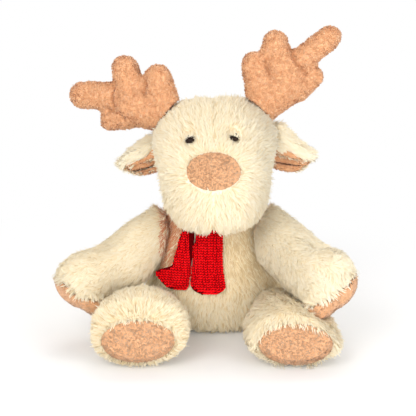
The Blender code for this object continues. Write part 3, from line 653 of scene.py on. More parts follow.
def pile_on(
    skin, name, count, length, width, flow, seed, material=None, lift=0.28, arc=0.14, lock=4.0 * MM,
    pull=0.30, wander=0.20, frizz=0.24, beside=(), patches=(), over_patch=0.12, over_by=2.6 * MM,
    keep=None, scale=None, tint=None, soft=0.78, sink=0.4 * MM, steer=None, raised=None, lean=None,
    loose=0.10,
):
    """Tufts on a skin, length long and width wide, that lie along flow.

    lift is their mean rise in radians and arc their bow, in lengths. Tips draw together within a
    lock by a share pull. wander and frizz turn tufts aside, in groups and singly, and a share loose
    of them strays. Neighbours in beside press them flat. Patches part them, and a share over_patch
    leans over a patch by about over_by. keep, scale, tint, raised, lean and steer are functions
    that leave tufts out, set their size, tint, rise and shading, and bend them."""
    rng = np.random.default_rng(seed)
    place, normal = surface_samples(skin.data, count, rng)
    if keep is not None:
        held = keep(place, normal)
        place, normal = place[held], normal[held]
    others, sewn = tree_of(beside), tree_of(patches, True)
    close, edge = near(place, beside), near(place, patches)
    room = hits(others, place, normal, LOOK_OVER, close)
    under = hits(sewn, place, normal, LOOK_UNDER, edge)
    free = (room > TIGHT) & (under > 6.4 * MM)
    place, normal, room, close, edge = (x[free] for x in (place, normal, room, close, edge))

    # Which way each tuft lies, and how long it is
    way = flow(place, normal) + wander * wobble(place, 22 * MM, seed + 1)
    way = way + 0.18 * wobble(place, 8 * MM, seed + 2)
    way = unit(way - normal * (way * normal).sum(1, keepdims=True))
    own = unit(way + frizz * rng.normal(size=way.shape))
    chance = over_patch(place) if callable(over_patch) else over_patch
    leaning = edge & (rng.uniform(0, 1, len(place)) < chance)
    leant(sewn, place, own, leaning, rng)
    own = unit(own - normal * (own * normal).sum(1, keepdims=True))
    size = length * rng.uniform(0.72, 1.18, len(place))
    if scale is not None:
        size = size * scale(place, normal)
    rise = lift * rng.uniform(0.45, 1.6, len(place))
    stray = rng.uniform(0, 1, len(place)) < loose
    rise[stray] *= 2.0
    size[stray] *= 1.1
    if raised is not None:
        rise = rise * raised(place, normal)

    # Where it ends
    tip = place + own * (size * np.cos(rise))[:, None] + normal * (size * np.sin(rise))[:, None]
    tip = in_locks(skin, place, own, tip, lock, pull, rng)
    if others is not None:
        tip, room, cut = pressed_flat(others, place, normal, tip, room, close)
        size = size * cut
    tip[:, 2] = np.maximum(tip[:, 2], FLOOR_GAP)
    lifted = np.zeros(len(place))
    if sewn is not None:
        lifted = parted(sewn, place, normal, tip, size, edge, leaning, over_by, rng)
    fine = size > 0.28 * length
    kept = (x[fine] for x in (place, normal, own, tip, size, lifted, room))
    place, normal, own, tip, size, lifted, room = kept

    # Its bend, twist, shading and tint
    root = place - normal * sink
    bow = arc * size * rng.uniform(0.5, 1.5, len(size))
    bow = np.minimum(bow, np.maximum(room - 1.2 * MM, 0)) + lifted
    mid = (root + tip) / 2 + normal * bow[:, None] + own * (0.08 * size)[:, None]
    if steer is not None:
        tip, mid = steer(root, tip, mid, rng)
    along = unit(tip - root)
    side = unit(np.cross(along, normal))
    twist = rng.normal(0, 0.35, len(size))[:, None]
    up = unit(np.cross(side, along))
    side, up = unit(side + up * twist), unit(up - side * twist)
    shade = normal * soft + up * (1 - soft) + 0.08 * rng.normal(size=normal.shape)
    shade = unit(shade if lean is None else shade + lean(place))
    wide = width * rng.uniform(0.7, 1.25, len(size)) * np.clip(size / length, 0.5, 1.1)
    lane = np.clip(0.43 + 0.18 * rng.normal(size=len(size)), 0.01, 0.85)
    if tint is not None:
        lane = tint(place, lane, rng)
    lane = (np.round(lane * (TINTS - 1)) + 0.5) / TINTS
    parts = math.ceil(len(place) / PIECE_TUFTS)
    for part in range(parts):
        mine = slice(part, None, parts)
        label = name if parts == 1 else f"{name}_{part + 1}"
        chosen = (x[mine] for x in (root, mid, tip, side, up, wide, shade, lane))
        pile = add(label, tuft_mesh(label, *chosen, material or CREAM_PILE))
        pile.parent = skin
        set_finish(pile, skin["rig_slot"])


def skin_area(skin):
    return sum(face.area for face in skin.data.polygons)


# ---------------------------------------------------------------- the stuffed forms

INSET = 2.0 * MM


def middle_of(node):
    low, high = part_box(node)
    return (np.array(low) + np.array(high)) / 2


NOSE = middle_of("nose_patch")
EYES = {side: mesh_points(nodes[f"eye_{side}"].data)[0].mean(0) for side in ("left", "right")}


def down(points):
    way = np.zeros_like(points)
    way[:, 2] = -1.0
    return way


def away_from(points, centre):
    return unit(points - np.asarray(centre))


def head_flow(points, normals):
    """Away from the nose all round. Below it the pile parts at the middle seam, and past the cheeks
    it falls."""
    way = away_from(points, NOSE)
    x, y, z = points[:, 0] - NOSE[0], points[:, 1], points[:, 2]
    below = shrinks(z, 0.146, 0.012) * shrinks(y, -0.04, 0.02)
    part = bell(x, 0.007) * below
    way[:, 0] += np.sign(x) * part * 0.6
    way[:, 2] -= below * 0.55
    above = grows(z, 0.172, 0.02)
    way[:, 0] += np.sign(x) * bell(x, 0.008) * above * 0.3
    side = grows(y, -0.05, 0.05)
    way[:, 2] -= side * 0.5
    return way


def head_keep(points, normals):
    """No pile in the hollow over the neck, in the seam below the nose or on the eyes."""
    x, y, z = points.T
    flat = np.hypot(x, y)
    hollow = (flat < 0.0475) & (z < 0.1205) & (normals[:, 2] < 0.75)
    axis = points[:, :2] / np.maximum(flat, 1e-6)[:, None]
    inward = (normals[:, :2] * axis).sum(1) < -0.2
    hollow |= (flat < 0.050) & (z < 0.121) & inward
    roof = (flat < 0.047) & (z < 0.125) & (normals[:, 2] < -0.4)
    seam = (np.abs(x - NOSE[0] + 0.0002) < 0.0003) & (z < 0.1400)
    seam &= y < -0.05
    eye = np.zeros(len(points), bool)
    for place in EYES.values():
        eye |= np.linalg.norm((points - place)[:, [0, 2]], axis=1) < 0.0042
    eye &= y < -0.03
    return ~(hollow | roof | seam | eye)


def head_scale(points, normals):
    out = np.ones(len(points))
    for eye in EYES.values():
        far = np.linalg.norm(points - eye, axis=1)
        out *= 1 - 0.35 * bell(far, 0.009)
    far = np.linalg.norm((points - NOSE) * (0.8, 0.6, 1.0), axis=1)
    return out * (1 - 0.25 * bell(far, 0.018))


def head_shape(points, normals):
    """The middle seam draws the top and the chin in a little, and each eye sits in a dimple."""
    x, y, z = points[:, 0] - NOSE[0], points[:, 1], points[:, 2]
    seam = bell(x, 0.0055)
    top = grows(z, 0.185, 0.008)
    chin = shrinks(z, 0.139, 0.008) * shrinks(y, -0.055, 0.01)
    out = -seam * (0.9 * top + 1.0 * chin) * MM
    cheeks = grows(np.abs(x), 0.040, 0.01) * bell(z - 0.136, 0.017)
    out -= 2.2 * MM * cheeks
    for eye in EYES.values():
        far = np.linalg.norm(points - eye, axis=1)
        out -= 0.8 * MM * bell(far, 0.008)
    return out


# What shows of each eye through the pile: how far along and across, and its slant.
EYE_WINDOWS = {"right": (4.1 * MM, 2.6 * MM, 0.50), "left": (3.9 * MM, 1.7 * MM, -0.45)}


def lashes(root, tip, mid, rng):
    """Pile round each eye leans in over its rim and leaves a slanting window."""
    tip, mid = tip.copy(), mid.copy()
    for side, (along, across, slant) in EYE_WINDOWS.items():
        dome = tree_of([f"eye_{side}"])
        gap = (root - EYES[side])[:, [0, 2]]
        far = np.linalg.norm(gap, axis=1)
        chance = np.clip((6.9 * MM - far) / (1.6 * MM), 0, 0.92)
        picked = (root[:, 1] < -0.03) & (rng.uniform(0, 1, len(root)) < chance)
        for i in np.flatnonzero(picked):
            turn = math.atan2(gap[i, 1], gap[i, 0]) - slant
            rim = along * across / math.hypot(across * math.cos(turn), along * math.sin(turn))
            rim = min(rim + abs(rng.normal(0, 0.6 * MM)), far[i] - 0.8 * MM)
            x, z = EYES[side][[0, 2]] + gap[i] / far[i] * rim + rng.normal(0, 0.35 * MM, 2)
            met = dome.ray_cast(Vector((x, -0.3, z)), Vector((0, 1, 0)))[0]
            front = met.y if met is not None else root[i, 1] - 1.2 * MM
            tip[i] = (x, front - rng.uniform(0.4, 0.9) * MM, z)
            mid[i] = (root[i] + tip[i]) / 2
            mid[i, 1] = min(root[i, 1], tip[i, 1]) - rng.uniform(0.5, 1.1) * MM
    return tip, mid


def scarf_bounce_shade(reach, most):
    """Painted shade: pile next to the scarf is tinted reddish brown, as if in shade lit by red light
    bounced off the scarf, the torso's more widely than the arm's.
    """
    def tint(points, lane, rng):
        x, y, z = points.T
        gap = np.abs(x + 0.0405)
        near_by = shrinks(gap, reach, 0.45 * reach) * (y < -0.012)
        near_by *= grows(z, 0.052, 0.012) * shrinks(z, 0.114, 0.008)
        red_bounce_shade = rng.uniform(0, 1, len(points)) < most * near_by
        return np.where(red_bounce_shade, rng.uniform(0.895, 0.97, len(points)), np.clip(lane, 0.01, 0.85))

    return tint


SOLID_NODES = [n for n in nodes if "washer" not in n]


def others_of(node, *own):
    return [n for n in SOLID_NODES if n != node and n not in own]


def dress_head():
    skin = skin_of("head", 2.2 * MM, 8, INSET, CREAM_SKIN, head_shape)
    beside = others_of("head", "nose_patch", "eye_left", "eye_right")
    pile_on(
        skin, "head_pile", 62000, 8.2 * MM, 0.80 * MM, head_flow, 11, beside=beside,
        patches=["nose_patch"], over_patch=0.06, keep=head_keep, scale=head_scale, steer=lashes,
        lean=lambda points: grows(points[:, :1], 0.012, 0.03) * np.array((0.42, 0.24, -0.12)),
    )


def dress_torso():
    def flow(points, normals):
        way = down(points)
        way[:, 0] += 6.0 * points[:, 0]
        return way

    def keep(points, normals):
        x, y, z = points.T
        flat = np.hypot(x, y)
        neck = (z > 0.1045) & (flat < 0.047) & ((flat > 0.034) | (normals[:, 2] < 0.7))
        gap = (np.abs(x + 0.0195) < 0.0042) & (z > 0.062) & (y < -0.02)
        return ~neck & ~gap & (z > 0.0012)

    def shape(points, normals):
        """The seat curves up to the front."""
        y, z = points[:, 1], points[:, 2]
        low = shrinks(z, 0.012, 0.012) * shrinks(y, -0.01, 0.03)
        return -1.0 * MM * low

    red_bounce_shade = scarf_bounce_shade(0.0150, 0.85)

    # A little yellower all over, its own colour, and painted light and shade by height: darker and
    # yellower higher up, lighter low down, so the light on it comes out even. Beside the scarf it takes
    # the painted red shade.
    def tint(points, lane, rng):
        return red_bounce_shade(points, lane - 0.08 - 0.30 * grows(points[:, 2], 0.030, 0.03), rng)

    skin = skin_of("torso", 2.2 * MM, 6, INSET, CREAM_SKIN, shape)
    pile_on(
        skin, "torso_pile", 36000, 7.6 * MM, 0.82 * MM, flow, 21,
        beside=others_of("torso"), keep=keep, tint=tint,
    )


def dress_tail():
    skin = skin_of("tail", 1.2 * MM, 5, 1.2 * MM, CREAM_SKIN)

    low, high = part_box("tail")
    tip = np.array(((low.x + high.x) / 2, high.y, low.z + 0.62 * (high.z - low.z)))

    def flow(points, normals):
        return unit(tip + (0.0, 0.006, 0.0) - points)

    pile_on(
        skin, "tail_pile", 5200, 7.5 * MM, 0.9 * MM, flow, 31, beside=["torso"], lift=0.42,
        raised=lambda points, normals: 1 + 1.8 * blob(points, tip, 0.008),
    )


# From each shoulder to the middle of the hand
ARM_LINES = {
    "left": (Vector((0.038, -0.006, 0.085)), Vector((0.0927, -0.103, 0.060))),
    "right": (Vector((-0.038, -0.006, 0.085)), Vector((-0.113, -0.070, 0.053))),
}


def blob(points, centre, size):
    """1 at a centre, falling to nothing about a size away."""
    return bell(np.linalg.norm(points - np.array(centre), axis=1), size)


def trimmed(points, way, limit, share):
    """Vectors that take a share of what lies past a plane back to it."""
    way = unit(np.array((way,)))[0]
    return -way * np.clip(points @ way - limit, 0, None)[:, None] * share


def arm_shape(side):
    """Where the hand's end is flatter, the upper arm fuller and the cover creased."""
    lower_end = unit(np.array([[0.62, -0.25, -0.74]]) * (1 if side == "left" else -1, 1, 1))[0]
    hand = np.array(ARM_LINES[side][1])

    def shape(points, normals):
        facing = np.clip(normals @ lower_end, 0, 1) ** 1.5
        below = np.clip(0.3 - normals[:, 2], 0, 1)
        if side == "right":
            out = -7.0 * MM * facing * blob(points, hand, 0.045) * shrinks(points[:, 0], -0.100, 0.012)
            not_up = np.clip(0.5 - normals[:, 2], 0, 1)
            out += 8.0 * MM * not_up * blob(points, (-0.103, -0.084, 0.037), 0.015)
            out += 8.5 * MM * below * blob(points, (-0.064, -0.054, 0.060), 0.019)
            out += 3.5 * MM * blob(points, (-0.050, -0.012, 0.103), 0.018)
            out += 2.2 * MM * blob(points, (-0.070, -0.029, 0.097), 0.014)
            out -= 5.6 * MM * blob(points, (-0.097, -0.052, 0.088), 0.017)
        else:
            out = -4.0 * MM * facing * blob(points, hand, 0.045) * grows(points[:, 0], 0.088, 0.02)
            out += 9.0 * MM * below * blob(points, (0.083, -0.119, 0.048), 0.017)
            out += 2.0 * MM * blob(points, (0.050, -0.012, 0.106), 0.016)
            out -= 9.0 * MM * blob(points, (0.0865, -0.078, 0.0935), 0.0125)
            out -= 3.2 * MM * blob(points, (0.0765, -0.062, 0.097), 0.013)
            out += 1.8 * MM * blob(points, (0.106, -0.098, 0.085), 0.016)
        past = (points - hand) @ lower_end - 0.012
        cut = np.clip(past, 0, None) * (0.25 if side == "right" else 0.2)
        return normals * out[:, None] - lower_end * cut[:, None]

    return shape


def dress_arm(side, seed):
    start, end = ARM_LINES[side]
    along = np.array((end - start).normalized())
    hand = np.array(end)

    # Brushed from the shoulder towards the hand, as the photograph shows it
    seen = np.array((0.753, -0.159, -0.638) if side == "left" else (-0.850, -0.127, -0.511))

    def flow(points, normals):
        past = grows((points - hand) @ along, -0.014, 0.02)[:, None]
        return (0.35 * along + 0.65 * seen) * (1 - 0.6 * past) + unit(points - hand) * 0.45 * past

    def over(points):
        if side == "right":
            return 0.3 + 0.6 * grows(points[:, 0], -0.104, 0.006)
        return 0.10 + 0.4 * shrinks(points[:, 0], 0.104, 0.012)

    red_bounce_shade = scarf_bounce_shade(0.0075, 0.6)

    # Painted light: the left arm's pile is paler, to offset the shade it gets away from the key lamp
    # and under the head. Beside the scarf it takes the painted red shade.
    def tint(points, lane, rng):
        return red_bounce_shade(points, lane + (0.16 if side == "left" else 0.0), rng)

    pad = f"hand_pad_{side}"
    skin = skin_of(f"arm_{side}", 2.0 * MM, 6, INSET, CREAM_SKIN, arm_shape(side))
    shaped[f"arm_{side}"] = skin
    pile_on(
        skin, f"arm_{side}_pile", 34000, 7.6 * MM, 0.80 * MM, flow, seed, tint=tint,
        beside=others_of(f"arm_{side}", pad), patches=[pad], over_patch=over,
        over_by=1.4 * MM, lift=0.26, soft=0.86, loose=0.03, frizz=0.18, wander=0.15,
    )


def dress_leg(side, seed):
    low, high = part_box(f"foot_pad_{side}")
    pad = np.array((low + high) / 2)
    pad[1] = high[1] + 0.004

    def brow(points):
        """How near a point is to the foot's edge over its pad."""
        rise = bell(points[:, 2] - high.z - 3 * MM, 6 * MM)
        return rise * bell(points[:, 1] - low.y - 9 * MM, 9 * MM)

    def flow(points, normals):
        way = unit((points - pad) * (1.0, 0.5, 1.0))
        back = grows(points[:, 1], -0.105, 0.05)[:, None]
        if side == "right":
            return way * (1 - back) + np.array((0.0, 0.5, -0.6)) * back
        # This foot's pile falls forwards and to the sides, over the edge of its pad.
        fall = np.tile((0.0, -0.5, -0.7), (len(points), 1))
        fall[:, 0] = (points[:, 0] - pad[0]) / 0.045
        above = grows(points[:, 2] - pad[2], -0.012, 0.014)[:, None]
        return unit(fall) * above + way * (1 - above)

    def keep(points, normals):
        return points[:, 2] > 0.0010

    def scale(points, normals):
        return 1.0 + (0.25 if side == "right" else 0.1) * brow(points)

    def raised(points, normals):
        return 1.0 + (1.2 if side == "right" else 0.2) * brow(points)

    def over(points):
        above = grows(points[:, 2] - pad[2], 0.004, 0.01)
        return 0.25 + (0.45 if side == "left" else 0.2) * above

    def shape(points, normals):
        x, z = points[:, 0], points[:, 2]
        outer = grows(np.abs(x), 0.080, 0.012) * grows(z, 0.010, 0.02)
        out = -2.6 * MM * outer * np.clip(np.abs(normals[:, 0]), 0, 1)
        if side == "left":
            out -= 5.0 * MM * blob(points, (0.104, -0.098, 0.046), 0.016)
            out -= 6.5 * MM * blob(points, (0.083, -0.128, 0.048), 0.016)
            return normals * out[:, None] + trimmed(points, (0.8, -0.1, 0.6), 0.1055, 0.8)
        out += 3.5 * MM * blob(points, (-0.060, -0.108, 0.0575), 0.018)
        return out

    # Painted shade: the right leg's pile is darker and yellower, to offset the stronger light it gets
    # from the key lamp.
    def tint(points, lane, rng):
        return np.clip(lane - (0.14 if side == "right" else 0.0), 0.01, 0.85)

    skin = skin_of(f"leg_{side}", 2.0 * MM, 6, INSET, CREAM_SKIN, shape)
    pile_on(
        skin, f"leg_{side}_pile", 34000, 7.6 * MM, 0.80 * MM, flow, seed, keep=keep, scale=scale,
        raised=raised, beside=others_of(f"leg_{side}", f"foot_pad_{side}"),
        patches=[f"foot_pad_{side}"], over_patch=over, tint=tint, loose=0.05,
    )


def fold_line(side):
    """Where the lining of an ear is folded: its height by X."""
    lining = mesh_points(nodes[f"ear_lining_{side}"].data)[0]
    runs = np.array_split(lining[np.argsort(lining[:, 0])], 6)
    x, z = (np.array([run[:, axis].mean() for run in runs]) for axis in (0, 2))
    return lambda points: np.interp(points[:, 0], x, z)


def dress_lining(side, seed):
    """The lining swells out of the fold to the ear's lips, with a crease along its middle."""
    fold, ear = fold_line(side), tree_of([f"ear_{side}"])

    def shape(points, normals):
        out = np.zeros_like(points)
        crease = bell(points[:, 2] - fold(points) - 0.8 * MM, 1.1 * MM)
        front = -0.0045 + 0.35 * (fold(points) - points[:, 2])
        swell = np.clip(-normals[:, 1] * 3, 0, 1) * (0.95 - 0.30 * crease)
        out[:, 1] = np.minimum(front - points[:, 1], 0) * swell
        forward = np.repeat(((0.0, -1.0, 0.0),), len(points), 0)
        room = hits(ear, points, forward, 20 * MM, np.ones(len(points), bool))
        out[:, 1] = np.maximum(out[:, 1], np.minimum(1.8 * MM - room, 0))
        return out

    node = f"ear_lining_{side}"
    skin = skin_of(node, 0.9 * MM, 4, 0.3 * MM, TAN_SKIN, shape)
    nap_on(skin, f"{node}_nap", 4500, seed, 1.2 * MM, 0.62 * MM)


def dress_ear(side, seed):
    """Cream outside, and the tan lining turned out over the lower lip."""
    sign = 1 if side == "left" else -1
    fold = fold_line(side)
    low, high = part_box(f"ear_{side}")
    root = low.x if side == "left" else high.x

    def lip(points, normals):
        return (points[:, 2] < fold(points) + 1.0 * MM) & (normals[:, 1] < 0.35)

    def flow(points, normals):
        way = np.zeros_like(points)
        way[:, 0] = sign
        way[:, 2] = -0.55
        return way

    def scale(points, normals):
        brow = bell(points[:, 2] - fold(points) - 3 * MM, 4 * MM)
        tip = grows(np.abs(points[:, 0]), 0.074, 0.012) * (side == "left")
        return 0.9 + 0.2 * brow * (normals[:, 1] < 0.3) + 0.25 * tip

    def raised(points, normals):
        tip = grows(np.abs(points[:, 0]), 0.072, 0.012) * (side == "left")
        return 1.0 + 1.2 * bell(points[:, 0] - root, 6 * MM) + 0.9 * tip

    def shape(points, normals):
        up, under = np.clip(normals[:, 2], 0, 1), np.clip(-normals[:, 2], 0, 1)
        if side == "right":
            out = 3.5 * MM * under * blob(points, (-0.060, 0.000, 0.139), 0.014)
            out -= 2.0 * MM * up * shrinks(points[:, 0], root, 0.012)
            return normals * out[:, None] + trimmed(points, (-0.6, 0.0, -0.8), -0.066, 0.7)
        out = 5.0 * MM * blob(points, (0.056, 0.0, 0.182), 0.012)
        out -= 3.0 * MM * up * blob(points, (0.0755, -0.002, 0.170), 0.016)
        out += 3.0 * MM * under * blob(points, (0.066, -0.001, 0.139), 0.016)
        return normals * out[:, None] + trimmed(points, (0.75, 0.0, -0.66), -0.036, 0.8)

    skin = skin_of(f"ear_{side}", 1.1 * MM, 4, 1.0 * MM, CREAM_SKIN, shape)
    skin.data.materials.append(TAN_SKIN)
    centres = np.array([face.center for face in skin.data.polygons])
    facing = np.array([face.normal for face in skin.data.polygons])
    skin.data.polygons.foreach_set("material_index", lip(centres, facing).astype(np.int32))
    pile_on(
        skin, f"ear_{side}_pile", 13000, 7.0 * MM, 0.80 * MM, flow, seed, scale=scale, raised=raised,
        beside=others_of(f"ear_{side}", f"ear_lining_{side}"), lift=0.32,
        tint=lambda points, lane, rng: np.clip(lane + 0.18, 0.01, 0.85),
        keep=lambda points, normals: ~lip(points, normals),
    )
    nap_on(skin, f"ear_{side}_nap", 5000, seed + 100, 1.4 * MM, 0.65 * MM, keep=lip)


# ---------------------------------------------------------------- velvet

# Creases of the antlers' cover in X and Z, from the notch between two tines into the palm. The cover
# dents along them and its nap is painted darker there, painted shade.
CREASES = {
    "left": (
        ((0.0437, 0.2350), (0.0459, 0.2299), (0.0473, 0.2238)),
        ((0.0668, 0.2445), (0.0690, 0.2376), (0.0734, 0.2307), (0.0808, 0.2241)),
    ),
    "right": (
        ((-0.0605, 0.2165), (-0.0621, 0.2101), (-0.0625, 0.2052)),
        ((-0.0882, 0.2148), (-0.0909, 0.2062), (-0.0914, 0.1991), (-0.0897, 0.1920)),
        ((-0.0948, 0.1890), (-0.0860, 0.1881), (-0.0806, 0.1831)),
    ),
}


def from_creases(points, side):
    """How far each point is from the nearest crease, seen from the front."""
    flat = points[:, [0, 2]]
    out = np.full(len(points), 1.0)
    for line in CREASES[side]:
        for start, end in zip(line[:-1], line[1:]):
            a, run = np.array(start), np.array(end) - np.array(start)
            share = np.clip(((flat - a) @ run) / (run @ run), 0, 1)
            out = np.minimum(out, np.linalg.norm(flat - a - share[:, None] * run, axis=1))
    return out


def curly(points, normals):
    return wobble(points, 5 * MM, 77)


def mottled(points, lane, rng):
    """Patches a few millimetres across, where the nap leans together and looks lighter or darker."""
    drift = 0.17 * wobble(points, 3.4 * MM, 79)[:, 0] + 0.09 * wobble(points, 11 * MM, 80)[:, 0]
    return np.clip(lane + drift + 0.06, 0.01, 0.99)


def nap_on(
    skin, name, count, seed, length=1.9 * MM, width=0.75 * MM, keep=None, tint=mottled,
    material=TAN_PILE,
):
    """The short curly nap of the velvet."""
    pile_on(
        skin, name, count, length, width, curly, seed, material=material, lift=0.62, arc=0.25,
        lock=2.2 * MM, pull=0.40, wander=0.5, frizz=0.6, sink=0.3 * MM, soft=0.62, keep=keep, tint=tint,
    )


def dress_antler(side, seed):
    def shape(points, normals):
        front = np.clip(0.3 - normals[:, 1], 0, 1)
        dent = bell(from_creases(points, side), 1.7 * MM) * np.minimum(front * 1.5, 1)
        return 0.4 * MM - 2.4 * MM * dent + 0.25 * MM * wobble(points, 14 * MM, seed)[:, 1]

    # Painted shade: the nap is darker along the creases.
    def tint(points, lane, rng):
        painted_crease_shade = bell(from_creases(points, side), 1.5 * MM)
        return np.clip(mottled(points, lane, rng) - 0.7 * painted_crease_shade, 0.005, 0.99)

    skin = skin_of(f"antler_{side}", 1.1 * MM, 3, 0.2 * MM, TAN_SKIN, shape)
    nap_on(skin, f"antler_{side}_nap", 19500, seed, tint=tint)


def dress_patch(node, count, seed):
    paler = {"nose_patch": -0.20, "foot_pad_left": 0.06, "foot_pad_right": 0.06}.get(node, 0.14)

    def tint(points, lane, rng):
        side = 0.22 * np.clip((points[:, 0] - NOSE[0]) / 0.02, -1, 1) if node == "nose_patch" else 0
        return np.clip(mottled(points, lane, rng) + paler + side, 0.005, 0.99)

    hand = node.startswith("hand_pad")
    skin = skin_of(node, 0.9 * MM, 4, 0.6 * MM, TAN_SKIN, arm_shape(node[9:]) if hand else None)
    if hand:
        shaped[node] = skin
    nap_on(skin, f"{node}_nap", count, seed, 1.2 * MM, 0.62 * MM, tint=tint, material=PATCH_PILE)
    if node == "hand_pad_right":
        inner = np.array(((0.55, -0.3, -0.8),))
        pile_on(
            skin, f"{node}_pile", 2600, 6.5 * MM, 0.8 * MM,
            lambda points, normals: np.repeat(inner, len(points), 0), seed + 9,
            beside=["leg_right"], keep=lambda points, normals: points[:, 0] > -0.1005,
        )


# ---------------------------------------------------------------- scarf


STITCH = 2.75 * MM, 2.15 * MM  # across and along
STRAND = 0.40  # a strand's thickness, in stitches across
STRAND_SIDES, STRAND_RINGS = 6, 5
YARN_TINTS = 61  # steps of a stitch's tint


def stitches(sheet, name, place_at, columns, rows, inside=None, seed=5):
    """Knit stitches on a sheet: a V of two plump strands each, in columns across and rows along.

    place_at gives places and normals for distances across and along."""
    rng = np.random.default_rng(seed)
    sides, rings = STRAND_SIDES, STRAND_RINGS
    pitch, step = STITCH
    across, along = np.meshgrid(np.arange(columns), np.arange(rows))
    a0, b0 = ((across.ravel() + 0.5) * pitch), ((along.ravel() + 0.5) * step)
    verts, faces, uvs = [], [], []
    base = 0
    for arm in (-1, 1):
        shares = np.linspace(0, 1, rings)
        path_a = a0[:, None] + arm * pitch * (0.46 - 0.42 * shares)[None]
        path_b = b0[:, None] + step * (-0.60 + 1.20 * shares)[None]
        shift = rng.normal(0, 0.03 * pitch, (len(a0), 1))
        place, normal = place_at((path_a + shift).ravel(), path_b.ravel())
        ok = np.ones(len(a0), bool)
        if inside is not None:
            ok = inside(path_a, path_b).all(axis=1)
        place = place.reshape(-1, rings, 3)[ok]
        normal = normal.reshape(-1, rings, 3)[ok]
        tangent = np.gradient(place, axis=1)
        tangent /= np.linalg.norm(tangent, axis=2, keepdims=True)
        sidew = np.cross(tangent, normal)
        sidew /= np.linalg.norm(sidew, axis=2, keepdims=True)
        bow = np.sin(math.pi * shares)[None, :, None]
        centre = place + normal * (pitch * (0.02 + 0.24 * bow))
        radius = pitch * 0.5 * STRAND * np.sqrt(np.clip(bow, 0.10, 1.0))
        count = len(place)
        ringed = np.empty((count, rings, sides, 3))
        for j in range(sides):
            turn = 2 * math.pi * j / sides
            ringed[:, :, j] = centre + radius * (sidew * math.cos(turn) + normal * math.sin(turn))
        tints = np.clip(0.5 + 0.25 * rng.normal(size=count), 0.02, 0.98)
        tints = (np.round(tints * (YARN_TINTS - 1)) + 0.5) / YARN_TINTS
        uv = np.empty((count, rings, sides, 2))
        uv[..., 0] = tints[:, None, None] + (np.arange(sides)[None, None] - 2.5) * 0.002
        uv[..., 1] = (0.04 + 0.92 * shares)[None, :, None]
        index = base + np.arange(count * rings * sides).reshape(count, rings, sides)
        nxt = np.roll(index, -1, axis=2)
        quads = np.stack([index[:, :-1], nxt[:, :-1], nxt[:, 1:], index[:, 1:]], axis=-1)
        faces.append(quads.reshape(-1, 4))
        verts.append(ringed.reshape(-1, 3))
        uvs.append(uv.reshape(-1, 2))
        base += count * rings * sides
    whole = (np.concatenate(parts) for parts in (verts, faces, uvs))
    knit = add(name, raw_mesh(name, *whole, None, YARN))
    knit.parent = sheet
    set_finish(knit, sheet["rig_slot"])
    return knit


def curve_table(table, share):
    """A table's row at shares of its first column, smooth through its rows."""
    rows = np.array(table, float)
    out = []
    for s in np.atleast_1d(share):
        i = int(np.clip(np.searchsorted(rows[:, 0], s) - 1, 0, len(rows) - 2))
        a, b = rows[i], rows[i + 1]
        before = rows[i - 1] if i else a
        after = rows[i + 2] if i + 2 < len(rows) else b
        t = (s - a[0]) / (b[0] - a[0])
        ga = (b - before) * ((b[0] - a[0]) / (b[0] - before[0]))
        gb = (after - a) * ((b[0] - a[0]) / (after[0] - a[0]))
        places = a * (2 * t**3 - 3 * t**2 + 1) + ga * (t**3 - 2 * t**2 + t)
        out.append(places + b * (3 * t**2 - 2 * t**3) + gb * (t**3 - t**2))
    return np.array(out)


TAIL_WIDTH = 0.0265
TAIL_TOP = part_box("scarf_tail_left")[1].z
TAIL_LENGTH = TAIL_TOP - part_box("scarf_tail_left")[0].z
# The tails' outlines: share of the way down, and both edges in tail widths
TAIL_TABLES = {
    "right": (
        (0.00, -1.02, -0.870),
        (0.114, -1.08, -0.867),
        (0.211, -1.162, -0.863),
        (0.348, -1.243, -0.853),
        (0.514, -1.357, -0.826),
        (0.64, -1.47, -0.810),
        (0.68, -1.77, -0.806),
        (0.74, -1.985, -0.797),
        (0.835, -1.86, -0.830),
        (0.945, -1.63, -0.880),
        (1.005, -1.382, -1.031),
    ),
    "left": (
        (0.00, -0.63, 0.268),
        (0.155, -0.655, 0.268),
        (0.404, -0.737, 0.257),
        (0.616, -0.76, 0.267),
        (0.75, -0.796, 0.299),
        (0.89, -0.832, 0.349),
        (0.95, -0.78, 0.330),
        (0.995, -0.68, 0.190),
        (1.03, -0.515, 0.032),
        (1.048, -0.36, -0.070),
    ),
}
# The right tail's inner margin is turned back: its width down the tail, in tail widths
TURNED_BACK = ((0.0, 0.23), (0.30, 0.17), (0.50, 0.10), (0.70, 0.0), (1.0, 0.0))


def front_of(solid, x, z):
    """Where a line along Y first meets a solid, or None."""
    return solid.ray_cast(Vector((x, -0.2, z)), Vector((0, 1, 0)))[0]


def smooth(y, times):
    """Evens out a grid's heights in both directions."""
    for _ in range(times):
        y[1:-1] = (y[:-2] + 2 * y[1:-1] + y[2:]) / 4
        y[:, 1:-1] = (y[:, :-2] + 2 * y[:, 1:-1] + y[:, 2:]) / 4


